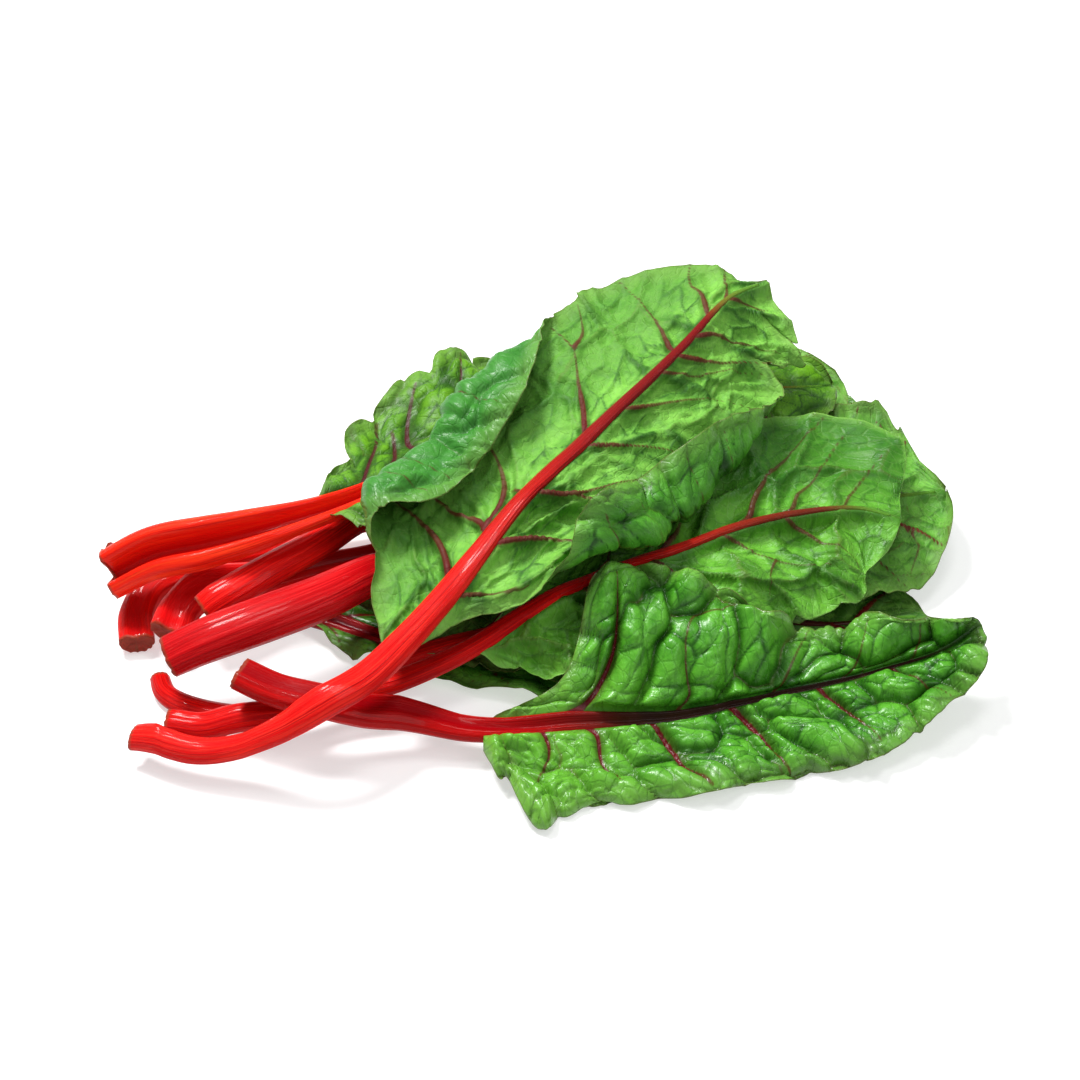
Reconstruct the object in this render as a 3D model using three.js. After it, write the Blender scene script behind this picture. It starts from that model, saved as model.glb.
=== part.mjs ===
// A loose bunch of red-stemmed chard lying on its side: ten whole leaves piled on one another.
// Millimetres. X runs from the cut stalk ends to the leaf tips, Y from the front of the pile to
// the back, Z up. The origin is the middle of the footprint, on the plane the bunch rests on.
import * as THREE from "three";
import { LoftGeometry } from "three/addons/geometries/LoftGeometry.js";

const bladeThickness = 1.8; // at the midrib; the margins close to an edge
const stalkDepth = 0.62; // height of a stalk as a share of its width
const plainChannel = 0.7; // height of the bottom of its channel, as a share of its depth
const ribGap = 0.8; // between a midrib and the blade it carries
const restGap = 1.2; // clear height left between a leaf and the pile under it
const restPasses = 20; // at most, to raise a leaf clear of the pile
const restTolerance = 0.02;
const cellSize = 4; // pitch of the height map the leaves are stacked on
const bendReach = 3; // cells over which a leaf bends to clear what is under it
const curveDivisions = 400; // for even spacing along a route
const stalkSections = 26;
const ribEnd = 0.985; // share of the route where the midrib runs out
const tipRounding = 0.16; // last share of a blade, rounded off to the tip
const flatUnderRib = [0.35, 0.9]; // from the midrib, as shares of its width: flat, then risen
const foldSpan = 0.085; // half of what a fold takes up, as a share of the reach
const marginWaves = 3.3; // along each margin
const waveReach = 60; // reach at which the waves have the full height of the ruffle
const thinReach = 12; // a narrower half is thinner than bladeThickness
const marginSharpness = 8; // power of the reach by which a blade thins towards its margin
const endCrowding = 0.15; // how much closer the rows of a blade lie near its two ends

// Each leaf, from the bottom of the pile up:
//   route   underside of the stalk and midrib, from the cut end to the tip
//   widths  stalk width at shares of the route
//   roll    degrees the leaf is turned about its route, at shares of the route
//   blade   share of the route where the blade starts
//   near, far   the two halves of the blade at shares of its length:
//           [share, reach, rise, curl, fold, where it folds, lean along the route]
//           reach is measured along the surface; rise is the angle at the midrib, curl what it
//           gains by the margin and fold a sharper turn, all in degrees towards the sky
//   channel  used in place of plainChannel, where it is given
//   ruffle  height of the waves along the margins
//   backUp  the underside of the leaf, with its raised rib, faces the sky
//   rows, columns  how finely the blade, and each half of it, is divided
const plainHalf = (reach, rise, curl) => [
  [0, 4, 0, 0, 0, 1, 0],
  [0.3, 0.92 * reach, rise, curl, 0, 1, -8],
  [0.7, reach, rise, curl, 0, 1, 4],
  [1, 0.55 * reach, rise / 2, 0, 0, 1, 0],
];
const leaves = [
  {
    name: "floor_leaf",
    backUp: false,
    route: [[-215, 49, 1], [-166, 24, 1], [-109, -1, 1], [-71, -19, 2], [-33, -25, 3],
      [10, -29, 4], [57, -25, 4], [110, -16, 3]],
    widths: [[0, 10], [0.35, 12], [0.5, 9], [0.8, 4], [1, 1.6]],
    roll: [[0, 0], [1, 0]],
    blade: 0.28,
    near: [[0, 3, 0, 0, 0, 1, 0], [0.15, 13, 0, 0, 0, 1, 0], [0.3, 20, 0, 0, 0, 1, -4],
      [0.7, 34, 0, 0, 0, 1, 4], [1, 19, 0, 0, 0, 1, 0]],
    far: plainHalf(54, 4, 0),
    ruffle: 3,
    rows: 16,
    columns: 7,
  },
  {
    name: "rear_leaf",
    backUp: false,
    route: [[-191, -22, 1], [-193, -4, 2], [-187, 11, 4], [-170, 21, 5], [-146, 34, 6],
      [-113, 53, 7], [-79, 64, 8], [-40, 80, 8], [10, 99, 8], [62, 119, 8], [115, 141, 8],
      [169, 158, 8]],
    widths: [[0, 17], [0.22, 16], [0.4, 11], [0.7, 5], [1, 1.6]],
    roll: [[0, 0], [1, 0]],
    blade: 0.38,
    near: plainHalf(60, 4, -6),
    far: plainHalf(52, 6, -10),
    channel: 0.95,
    ruffle: 3,
    rows: 16,
    columns: 7,
  },
  {
    name: "inner_leaf",
    backUp: false,
    route: [[-174, -26, 2], [-170, -11, 4], [-160, 0, 6], [-139, 8, 8], [-111, 20, 10],
      [-78, 32, 11], [-29, 48, 12], [30, 64, 13], [90, 72, 12], [151, 80, 10]],
    widths: [[0, 18], [0.22, 18], [0.4, 11], [0.7, 5], [1, 1.6]],
    roll: [[0, 0], [1, 0]],
    blade: 0.36,
    near: plainHalf(62, 2, -4),
    far: plainHalf(62, 4, -6),
    channel: 0.9,
    ruffle: 3,
    rows: 16,
    columns: 7,
  },
  {
    name: "low_leaf",
    backUp: true,
    route: [[-178, -42, 1], [-174, -53, 1], [-165, -61, 1], [-151, -67, 1], [-137, -69, 1],
      [-114, -66, 1], [-93, -55, 1], [-65, -41, 2], [-33, -29, 3], [10, -23, 5], [57, -20, 6],
      [105, -15, 6], [153, -6, 4], [186, -2, 2]],
    widths: [[0, 9], [0.08, 12], [0.2, 12], [0.4, 10], [0.7, 5], [1, 1.6]],
    roll: [[0, 0], [1, 0]],
    blade: 0.37,
    near: plainHalf(30, -10, 0),
    far: plainHalf(60, 4, 0),
    ruffle: 3,
    rows: 16,
    columns: 7,
  },
  {
    name: "middle_leaf",
    backUp: true,
    route: [[-157, -19, 15], [-145, -11, 21], [-128, 4, 26], [-106, 24, 27], [-91, 40, 27],
      [-54, 61, 28], [-10, 84, 30], [51, 114, 31], [113, 142, 30], [158, 157, 27]],
    widths: [[0, 15], [0.15, 17], [0.25, 17], [0.45, 11], [0.7, 5], [1, 1.6]],
    roll: [[0, 10], [0.25, 5], [0.4, 0], [1, 0]],
    blade: 0.33,
    near: plainHalf(60, -6, -6),
    far: plainHalf(56, 8, -20),
    ruffle: 4,
    rows: 20,
    columns: 9,
  },
  {
    name: "far_leaf",
    backUp: true,
    route: [[-170, -51, 22], [-152, -46, 28], [-126, -35, 31], [-103, -22, 31], [-76, -1, 29],
      [-43, 16, 27], [10, 28, 30], [78, 43, 30], [153, 60, 26], [202, 73, 22]],
    widths: [[0, 21], [0.1, 23], [0.22, 22.5], [0.34, 17], [0.45, 12], [0.7, 6], [1, 2]],
    roll: [[0, 25], [0.2, 15], [0.4, 0], [1, 0]],
    blade: 0.32,
    near: [[0, 4, 0, 0, 0, 1, 0], [0.3, 61, -6, -8, 0, 1, -8], [0.7, 66, -6, -8, 0, 1, 4],
      [1, 44, -3, 0, 0, 1, 0]],
    far: [[0, 4, 0, 0, 0, 1, 0], [0.3, 64, 6, -6, 0, 1, -8], [0.7, 68, 6, -6, 0, 1, 4],
      [0.84, 62, 6, -4, 0, 1, 4], [0.92, 74, 4, 0, 0, 1, 8], [1, 44, 2, 0, 0, 1, 0]],
    ruffle: 5,
    rows: 22,
    columns: 10,
  },
  {
    name: "broad_leaf",
    backUp: false,
    route: [[-201, 5, 23], [-182, 7, 33], [-158, 8, 39], [-128, 14, 44], [-90, 32, 45],
      [-53, 60, 44], [-9, 78, 44], [50, 103, 45], [106, 125, 42], [150, 139, 36]],
    widths: [[0, 24], [0.1, 26], [0.17, 22], [0.25, 17], [0.34, 14], [0.45, 11], [0.7, 6],
      [1, 2]],
    roll: [[0, 28], [0.16, 24], [0.4, -8], [0.5, -4], [1, 0]],
    blade: 0.27,
    near: [[0, 6, 40, 0, 0, 1, 0], [0.06, 20, 22, 0, 0, 1, -6], [0.15, 34, -5, -4, 0, 1, -6],
      [0.3, 50, -6, -8, 0, 1, -8], [0.7, 60, -10, -8, 0, 1, 4], [1, 34, -4, 0, 0, 1, 0]],
    far: [[0, 6, -25, 0, 0, 1, 0], [0.08, 24, 2, -6, 0, 1, 6], [0.13, 39, 16, -8, 0, 1, 6],
      [0.18, 49, 21, -10, 0, 1, 6], [0.3, 69, 20, -12, 0, 1, 4], [0.4, 71, 18, -16, 0, 1, 2],
      [0.5, 69, 15, -20, 0, 1, 0], [0.8, 58, 8, -30, 0, 1, 4], [1, 32, 0, 0, 0, 1, 0]],
    channel: 0.35,
    ruffle: 6,
    rows: 26,
    columns: 11,
  },
  {
    name: "right_leaf",
    backUp: true,
    route: [[-170, -79, 2], [-154, -82, 2], [-136, -80, 6], [-113, -77, 9], [-91, -68, 12],
      [-64, -61, 16], [-32, -47, 23], [2, -29, 33], [38, -11, 39], [68, 3, 43], [95, 16, 46],
      [124, 24, 48], [153, 30, 46], [173, 27, 42]],
    widths: [[0, 12], [0.2, 14], [0.45, 10], [0.7, 6], [0.85, 4], [1, 1.6]],
    roll: [[0, 0], [1, 0]],
    blade: 0.4,
    near: [[0, 4, -10, 0, 0, 1, 0], [0.15, 28, -16, 0, 0, 1, -10], [0.3, 42, -22, -6, 0, 1, -6],
      [0.5, 60, -22, -14, 0, 1, 0], [0.65, 62, -23, -18, 0, 1, 2], [0.8, 52, -22, -20, 0, 1, 4],
      [1, 40, -20, 0, 0, 1, 0]],
    far: [[0, 4, 5, 0, 0, 1, 0], [0.3, 24, 8, 0, 0, 1, -4], [0.5, 34, 7, 0, 0, 1, -4],
      [0.66, 36, 6, 2, 0, 1, -4], [0.74, 62, 6, 4, 0, 1, -4], [0.86, 70, 4, 4, 0, 1, 4],
      [0.94, 72, 2, 2, 0, 1, 8], [1, 62, 0, 0, 0, 1, 0]],
    ruffle: 4,
    rows: 26,
    columns: 11,
  },
  {
    name: "front_leaf",
    backUp: false,
    route: [[-137, -72, 28], [-120, -79, 24], [-100, -85, 22], [-80, -86, 16], [-55, -84, 10],
      [-27, -87, 8], [9, -83, 7], [46, -79, 6], [83, -70, 6], [120, -59, 8], [158, -50, 14],
      [186, -45, 22], [205, -35, 30]],
    widths: [[0, 18], [0.1, 18], [0.28, 15], [0.5, 8], [0.65, 4.5], [0.8, 3], [1, 1.6]],
    roll: [[0, 0], [1, 0]],
    blade: 0.325,
    near: [[0, 12, -6, 0, 0, 1, 0], [0.05, 31, -8, 0, 0, 1, -4], [0.14, 48, -6, 0, 0, 1, -8],
      [0.3, 42, -6, 0, 0, 1, 0], [0.55, 46, -6, 0, 0, 1, 0], [0.75, 44, -8, 0, 0, 1, 2],
      [0.88, 30, -8, 0, 0, 1, 2], [1, 12, -10, 0, 0, 1, 0]],
    far: [[0, 4, 14, 0, 0, 1, 0], [0.1, 14, 20, 0, 0, 1, 0], [0.18, 25, 26, 0, 0, 1, -2],
      [0.25, 62, 36, -10, 0, 1, -6], [0.38, 64, 38, -16, 0, 1, 0], [0.5, 50, 44, -34, 0, 1, 0],
      [0.6, 30, 54, -56, 0, 1, 0], [0.8, 23, 54, -60, 0, 1, 0], [1, 20, 30, -20, 0, 1, 0]],
    channel: 0.95,
    ruffle: 5,
    rows: 28,
    columns: 12,
  },
  {
    name: "top_leaf",
    backUp: true,
    route: [[-183, -91, 3], [-156, -102, 8], [-130, -105, 17], [-109, -105, 27], [-92, -98, 36],
      [-77, -85, 40], [-61, -65, 44], [-45, -44, 50], [-18, -7, 61], [10, 27, 73], [38, 59, 83],
      [68, 95, 92], [94, 130, 99], [114, 146, 98]],
    widths: [[0, 12], [0.2, 14], [0.28, 15.5], [0.4, 13.5], [0.6, 9.5], [0.8, 5.5], [1, 2]],
    roll: [[0, 0], [1, 0]],
    blade: 0.32,
    near: [[0, 4, -10, 0, 0, 1, 0], [0.13, 14, -30, 0, 0, 1, 0], [0.18, 28, -36, 0, 26, 0.96, 0],
      [0.23, 48, -38, -6, 116, 0.87, 0], [0.28, 72, -40, -10, 168, 0.76, 0],
      [0.36, 98, -40, -12, 182, 0.7, 0], [0.46, 104, -40, -14, 185, 0.69, 0],
      [0.6, 88, -42, -14, 185, 0.72, 4], [0.7, 73, -40, -10, 172, 0.79, 8],
      [0.77, 60, -38, -10, 112, 0.9, 12], [0.82, 50, -34, -6, 20, 0.98, 10],
      [0.87, 44, -30, -4, 0, 1, 8], [0.92, 48, -26, 0, 0, 1, 10], [1, 36, -20, 0, 0, 1, 0]],
    far: [[0, 4, 0, 0, 0, 1, 0], [0.05, 20, 4, 0, 0, 1, 0], [0.1, 31, 4, 0, 20, 1, -4],
      [0.15, 42, 4, 0, 80, 0.93, -2], [0.2, 68, 4, 0, 150, 0.82, 0],
      [0.25, 90, 4, 0, 178, 0.7, 0], [0.31, 96, 4, 0, 182, 0.66, 0],
      [0.42, 90, 4, 0, 185, 0.69, 0], [0.53, 88, 4, 0, 182, 0.73, 0],
      [0.59, 81, 4, 0, 172, 0.79, 0], [0.64, 73, 4, 0, 130, 0.87, 0],
      [0.69, 66, 4, 0, 60, 0.95, 0], [0.74, 64, 4, 0, 0, 1, 1], [0.8, 66, 4, 0, 0, 1, 2],
      [0.9, 42, 4, 0, 0, 1, 4], [1, 28, 0, 0, 0, 1, 0]],
    ruffle: 2.5,
    rows: 40,
    columns: 20,
  },
];

// Smooth curve through [share, value, value, ...] rows, with the slope at each row taken from
// its two neighbours.
function blend(rows, share) {
  let i = 0;
  while (i < rows.length - 2 && share > rows[i + 1][0]) i++;
  const [a, b] = [rows[i], rows[i + 1]];
  const [before, after] = [rows[Math.max(i - 1, 0)], rows[Math.min(i + 2, rows.length - 1)]];
  const span = b[0] - a[0];
  const t = THREE.MathUtils.clamp((share - a[0]) / span, 0, 1);
  return a.slice(1).map((_, k) => {
    const slopeA = ((b[k + 1] - before[k + 1]) / (b[0] - before[0])) * span;
    const slopeB = ((after[k + 1] - a[k + 1]) / (after[0] - a[0])) * span;
    const rise = b[k + 1] - a[k + 1];
    const bendA = 3 * rise - 2 * slopeA - slopeB;
    return a[k + 1] + t * (slopeA + t * (bendA + t * (slopeA + slopeB - 2 * rise)));
  });
}

// Point, forward, far and sky directions at a share of the route.
function frameAt(leaf, share) {
  const at = leaf.curve.getPointAt(share);
  const forward = leaf.curve.getTangentAt(share);
  const far = new THREE.Vector3(0, 0, 1).cross(forward).normalize();
  far.applyAxisAngle(forward, THREE.MathUtils.degToRad(blend(leaf.roll, share)[0]));
  return { at, forward, far, sky: forward.clone().cross(far) };
}

// Ring of the stalk, as shares of its half width and of its depth: round on the back of the
// leaf, channelled on the face.
function stalkRings(leaf) {
  const stalkRing = [[0, 0], [0.5, 0.07], [0.88, 0.34], [1, 0.7], [0.62, 1],
    [0, leaf.channel ?? plainChannel], [-0.62, 1], [-1, 0.7], [-0.88, 0.34], [-0.5, 0.07]];
  const ring = leaf.backUp ? stalkRing.map(([a, n]) => [-a, 1 - n]) : stalkRing;
  return Array.from({ length: stalkSections + 1 }, (_, i) => {
    const share = (ribEnd * i) / stalkSections;
    const frame = frameAt(leaf, share);
    const width = blend(leaf.widths, share)[0];
    return ring.map(([a, n]) => frame.at.clone()
      .addScaledVector(frame.far, (a * width) / 2)
      .addScaledVector(frame.sky, n * width * stalkDepth));
  });
}

// Middle surface and surface normal along one half of the blade, at one row. The half runs flat
// under its midrib before it takes up its rise.
function halfRow(leaf, share, side) {
  const along = leaf.blade + (1 - leaf.blade) * share;
  const frame = frameAt(leaf, along);
  const width = blend(leaf.widths, along)[0];
  const [reachAt, rise, curl, fold, foldAt, lean] = blend(side > 0 ? leaf.far : leaf.near, share);
  const tip = Math.max(0, (share - 1 + tipRounding) / tipRounding);
  const reach = share > 0 ? reachAt * Math.sqrt(1 - tip * tip) : 0;
  const step = 1 / leaf.columns;
  const across = frame.far.clone().multiplyScalar(side);
  const at = frame.at.clone().addScaledVector(frame.sky, -ribGap - bladeThickness / 2);
  const angleAt = (q) => {
    const risen = THREE.MathUtils.smoothstep(q * reach, ...flatUnderRib.map((s) => s * width));
    const folded = THREE.MathUtils.smoothstep(q, foldAt - foldSpan, foldAt + foldSpan);
    return THREE.MathUtils.degToRad((rise + curl * q) * risen + fold * folded);
  };
  const points = [];
  for (let j = 0; j <= leaf.columns; j++) {
    const q = j * step;
    if (j > 0) {
      const angle = angleAt(q - step / 2);
      at.addScaledVector(across, Math.cos(angle) * reach * step);
      at.addScaledVector(frame.sky, Math.sin(angle) * reach * step);
    }
    const angle = angleAt(q);
    const normal = across.clone().multiplyScalar(-Math.sin(angle))
      .addScaledVector(frame.sky, Math.cos(angle));
    const phase = 2 * Math.PI * marginWaves * share + side * 1.3 + leaf.route[0][0];
    const wave = leaf.ruffle * q * q * (reach / waveReach) * Math.sin(phase);
    const half = (bladeThickness / 2) * (1 - q ** marginSharpness) * Math.min(1, reach / thinReach);
    points.push({
      at: at.clone().addScaledVector(frame.forward, lean * q * q).addScaledVector(normal, wave),
      offset: normal.multiplyScalar(half),
    });
  }
  return points;
}

// Closed ring of a blade row: along the underside from the near margin to the far one, and back
// over the top. Rows lie closer together towards both ends.
function bladeRings(leaf) {
  return Array.from({ length: leaf.rows + 1 }, (_, i) => {
    const s = i / leaf.rows;
    const share = s - (endCrowding * Math.sin(2 * Math.PI * s)) / (2 * Math.PI);
    const row = [...halfRow(leaf, share, -1).reverse(), ...halfRow(leaf, share, 1).slice(1)];
    const under = row.map((p) => p.at.clone().sub(p.offset));
    const over = row.slice(1, -1).reverse().map((p) => p.at.clone().add(p.offset));
    return [...under, ...over];
  });
}

// Height map over the footprint: values on a square grid of points, cellSize apart.
const mapWidth = 130;
const mapDepth = 100;
const mapCorner = new THREE.Vector2(-260, -180);
const newMap = (value) => new Float64Array(mapWidth * mapDepth).fill(value);
const mapCell = (x, y) => [(x - mapCorner.x) / cellSize, (y - mapCorner.y) / cellSize];

// Takes the surface between closed rings into a map, keeping the higher or the lower value.
function pressInto(map, rings, keep) {
  for (let i = 0; i < rings.length - 1; i++) {
    rings[i].forEach((a, j) => {
      const next = (j + 1) % rings[i].length;
      const [b, c, d] = [rings[i][next], rings[i + 1][next], rings[i + 1][j]];
      const steps = Math.ceil(Math.max(a.distanceTo(c), b.distanceTo(d)) / (cellSize / 2));
      for (let m = 0; m <= steps; m++) {
        const left = a.clone().lerp(d, m / steps);
        const right = b.clone().lerp(c, m / steps);
        for (let n = 0; n <= steps; n++) {
          const p = left.clone().lerp(right, n / steps);
          const [column, row] = mapCell(p.x, p.y).map(Math.floor);
          for (const k of [0, 1, mapWidth, mapWidth + 1]) {
            const at = row * mapWidth + column + k;
            map[at] = keep(map[at], p.z);
          }
        }
      }
    });
  }
}

// Each value becomes the highest, then the mean, of those within bendReach cells.
function soften(map) {
  for (const [along, pitch] of [[mapWidth, 1], [mapDepth, mapWidth]]) {
    for (const join of [(w) => Math.max(...w), (w) => w.reduce((s, v) => s + v, 0) / w.length]) {
      const source = map.slice();
      for (let at = 0; at < map.length; at++) {
        const place = Math.floor(at / pitch) % along;
        const window = [];
        for (let k = -bendReach; k <= bendReach; k++)
          if (place + k >= 0 && place + k < along) window.push(source[at + k * pitch]);
        map[at] = join(window);
      }
    }
  }
  return map;
}

// Raises a leaf wherever the pile under it asks for more room, bending it smoothly.
function layOn(pile, parts) {
  for (let pass = 0; pass < restPasses; pass++) {
    const underside = newMap(Infinity);
    parts.forEach((rings) => pressInto(underside, rings, Math.min));
    const lift = pile.map((top, i) => Math.max(0, top + restGap - underside[i]));
    if (Math.max(...lift) < restTolerance) break;
    soften(lift);
    for (const point of parts.flat(2)) {
      const [column, row] = mapCell(point.x, point.y);
      const [c, r] = [Math.floor(column), Math.floor(row)];
      const at = r * mapWidth + c;
      const low = THREE.MathUtils.lerp(lift[at], lift[at + 1], column - c);
      const high = THREE.MathUtils.lerp(lift[at + mapWidth], lift[at + mapWidth + 1], column - c);
      point.z += THREE.MathUtils.lerp(low, high, row - r);
    }
  }
  parts.forEach((rings) => pressInto(pile, rings, Math.max));
}

// Stack the pile, then put the middle of its footprint at the origin.
const pile = newMap(-restGap);
const stacked = leaves.map((leaf) => {
  leaf.curve = new THREE.CatmullRomCurve3(leaf.route.map((p) => new THREE.Vector3(...p)));
  leaf.curve.arcLengthDivisions = curveDivisions;
  const parts = [stalkRings(leaf), bladeRings(leaf)];
  layOn(pile, parts);
  return parts;
});
const points = stacked.flat(3);
const box = new THREE.Box3().setFromPoints(points);
const foot = box.getCenter(new THREE.Vector3()).setZ(box.min.z);
points.forEach((p) => p.sub(foot));

const bunch = new THREE.Group();
bunch.name = "swiss_chard_bunch";
leaves.forEach(({ name }, i) => {
  const [stalkRows, bladeRows] = stacked[i];
  const stalk = new THREE.Mesh(
    new LoftGeometry(stalkRows, { closed: true, capStart: true, capEnd: true }),
    new THREE.MeshStandardMaterial({ color: 0xc8101c, roughness: 0.38, metalness: 0 }));
  stalk.name = `${name}_stalk`;
  const blade = new THREE.Mesh(
    new LoftGeometry(bladeRows, { closed: true }),
    new THREE.MeshStandardMaterial({ color: 0x3f8f2c, roughness: 0.42, metalness: 0 }));
  blade.name = `${name}_blade`;
  bunch.add(stalk, blade);
});

export default bunch;
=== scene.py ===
import bpy
import numpy as np
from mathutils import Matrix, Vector


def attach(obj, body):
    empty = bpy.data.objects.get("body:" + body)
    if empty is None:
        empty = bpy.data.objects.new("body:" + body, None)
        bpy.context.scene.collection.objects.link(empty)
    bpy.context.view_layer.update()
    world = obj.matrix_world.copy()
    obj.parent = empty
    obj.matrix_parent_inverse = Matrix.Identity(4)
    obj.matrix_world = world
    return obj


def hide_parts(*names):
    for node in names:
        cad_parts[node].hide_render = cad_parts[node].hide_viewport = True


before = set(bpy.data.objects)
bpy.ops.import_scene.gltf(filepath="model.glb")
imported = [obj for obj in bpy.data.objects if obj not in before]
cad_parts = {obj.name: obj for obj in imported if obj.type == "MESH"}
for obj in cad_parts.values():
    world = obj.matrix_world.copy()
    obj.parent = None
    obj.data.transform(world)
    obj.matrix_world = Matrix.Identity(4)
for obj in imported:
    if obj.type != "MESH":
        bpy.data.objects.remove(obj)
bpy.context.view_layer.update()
print("frame loaded:", len(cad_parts), "nodes")

# camera: above the front of the bunch, looking down on it
cameraSet = {"target": (0.00587, 0.03306, 0.0), "elevation": 40, "distance": 1.3, "lens": 86.67,
             "sensor": 36, "seesTo": 20}

lift = np.radians(cameraSet["elevation"])
away = Vector((0, -np.cos(lift), np.sin(lift)))
camera = bpy.data.objects.new("camera", bpy.data.cameras.new("camera"))
bpy.context.scene.collection.objects.link(camera)
camera.location = Vector(cameraSet["target"]) + away * cameraSet["distance"]
camera.rotation_euler = away.to_track_quat("Z", "Y").to_euler()
camera.data.lens = cameraSet["lens"]
camera.data.sensor_width = cameraSet["sensor"]
camera.data.clip_end = cameraSet["seesTo"]
bpy.context.scene.camera = camera
print("camera set")


class Wire:
    # one socket of a finish; + - and * on it add Math nodes
    def __init__(self, finish, socket):
        self.finish, self.socket = finish, socket

    def maths(self, operation, *values):
        return self.finish.node("ShaderNodeMath", {"operation": operation},
                                dict(enumerate(values)))

    def __add__(self, other):
        return self.maths("ADD", self, other)

    def __sub__(self, other):
        return self.maths("SUBTRACT", self, other)

    def __rsub__(self, other):
        return self.maths("SUBTRACT", other, self)

    def __mul__(self, other):
        return self.maths("MULTIPLY", self, other)

    def atLeast(self, other):
        return self.maths("MAXIMUM", self, other)

    __radd__ = __add__
    __rmul__ = __mul__


class Finish:
    # the nodes of a material or of the room: its shader, with what is the same all over it
    def __init__(self, owner, shader, constants):
        owner.use_nodes = True
        self.owner, self.tree = owner, owner.node_tree
        self.shader = self.tree.nodes[shader]
        self.put(self.shader, constants)

    def put(self, node, values):
        # links a wire to its socket, and sets anything else on it
        for key, value in values.items():
            if isinstance(value, Wire):
                self.tree.links.new(value.socket, node.inputs[key])
            elif node.inputs[key].type == "RGBA":
                node.inputs[key].default_value = (*value, 1)
            else:
                node.inputs[key].default_value = value

    def node(self, kind, settings=None, values=None, output=0):
        # a node of a kind: its settings are set first, then its sockets' values or links
        made = self.tree.nodes.new(kind)
        for key, value in (settings or {}).items():
            setattr(made, key, value)
        self.put(made, values or {})
        return Wire(self, made.outputs[output])

    def field(self, name, output="Fac"):
        # a value that the mesh carries at each of its points
        return self.node("ShaderNodeAttribute", {"attribute_name": name}, output=output)

    def split(self, vector, axis):
        return self.node("ShaderNodeSeparateXYZ", {}, {"Vector": vector}, axis)

    def mix(self, a, b, mask):
        # colour a, going to b as mask goes from 0 to 1
        return self.node("ShaderNodeMix", {"data_type": "RGBA"}, {0: mask, 6: a, 7: b}, output=2)

    def ease(self, value, low, high, start=0.0, end=1.0):
        # smooth step from start at low to end at high
        return self.node("ShaderNodeMapRange", {"interpolation_type": "SMOOTHSTEP"},
                         {0: value, 1: low, 2: high, 3: start, 4: end})

    def grain(self, place, scale, detail=3.0, rough=0.5):
        # cloudy noise from 0 to 1, about 1 / scale long
        return self.node("ShaderNodeTexNoise", {},
                         {"Vector": place, "Scale": scale, "Detail": detail, "Roughness": rough})

    def stretch(self, place, scale):
        # the place multiplied along each axis, which draws a pattern out along the smallest
        return self.node("ShaderNodeMapping", {}, {"Vector": place, "Scale": scale})

    def bump(self, height, strength, distance):
        return self.node("ShaderNodeBump", {}, {"Height": height, "Strength": strength,
                                                "Distance": distance})


# studio: a pale floor, a white room and soft lamps
studio = {
    "floor": (0.52, 0.52, 0.52),
    "floorRough": 0.6,
    "floorGlow": 0.53,  # the floor gives off some light itself, which keeps the shadows faint
    "floorReach": 4000,  # from the middle to each side, mm
    "room": (1.0, 1.0, 1.0),
    "roomStrength": 0.38,  # as a light; to the camera it is fully white
    "aim": (0, 0, 0.03),  # where the lamps point
    # name, where it hangs, width, watts
    "lamps": [
        ("keyLamp", (-0.5, 0.45, 1.3), 0.35, 31),
        ("fillLamp", (0.9, -0.8, 1.3), 0.8, 6),
        ("topLamp", (0.1, 0.0, 1.8), 0.5, 9),
    ],
}

scene = bpy.context.scene
scene.view_settings.view_transform = "Standard"
scene.view_settings.look = "None"
scene.world = bpy.data.worlds.new("room")
room = Finish(scene.world, "Background", {"Color": studio["room"]})
seen = room.node("ShaderNodeLightPath", output="Is Camera Ray")
strength = room.node("ShaderNodeMix", {}, {"Factor": seen, "A": studio["roomStrength"], "B": 1})
room.put(room.shader, {"Strength": strength})
for name, place, width, watts in studio["lamps"]:
    data = bpy.data.lights.new(name, "AREA")
    data.size = width
    data.energy = watts
    lamp = bpy.data.objects.new(name, data)
    scene.collection.objects.link(lamp)
    lamp.location = place
    aim = Vector(place) - Vector(studio["aim"])
    lamp.rotation_euler = aim.to_track_quat("Z", "Y").to_euler()
print("studio set")

# everything below is worked out in millimetres and laid into the meshes in metres
millimetre = 0.001
footprint = (-5.87, 28.94, 0)  # middle of the pile in the frame its routes are written in

# what all leaves share; lengths in mm
leafSet = {
    "roll": [[0, 0], [1, 0]],  # (share, degrees): lying flat
    "tipRounding": 0.16,  # last share of a blade, rounded off to the tip
    "tipReach": 1.2,  # what is left of each half at the tip
    "foldSpan": 0.085,  # half of what a fold takes up, as a share of the reach
    "marginWaves": 3.3,  # long waves along each margin
    "waveReach": 60,  # reach at which they are as high as the ruffle says
    "turnReach": 9,  # stretch of a blade that turns up with its margin
    "endCrowding": 0.15,  # how much closer the rows of a blade lie near its two ends
    "sheet": 0.62,  # thickness of a blade
    "lobe": 22,  # length of the rounded lobes of a margin
    "sway": 1.2,  # height of the broad bumps of a blade
    "stalkDepth": 0.62,  # height of a stalk as a share of its width
    "channel": [[0, 0.7], [1, 0.7]],  # (share, bottom of its channel as a share of that height)
    "ribEnd": 0.985,  # share of the route where the midrib runs out
    "stalkSections": 210,
    "stalkSides": 40,
}


def smoothStep(x, low, high):
    # 3t^2 - 2t^3, with t from 0 at low to 1 at high
    t = np.clip((x - low) / (high - low), 0, 1)
    return t * t * (3 - 2 * t)


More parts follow.
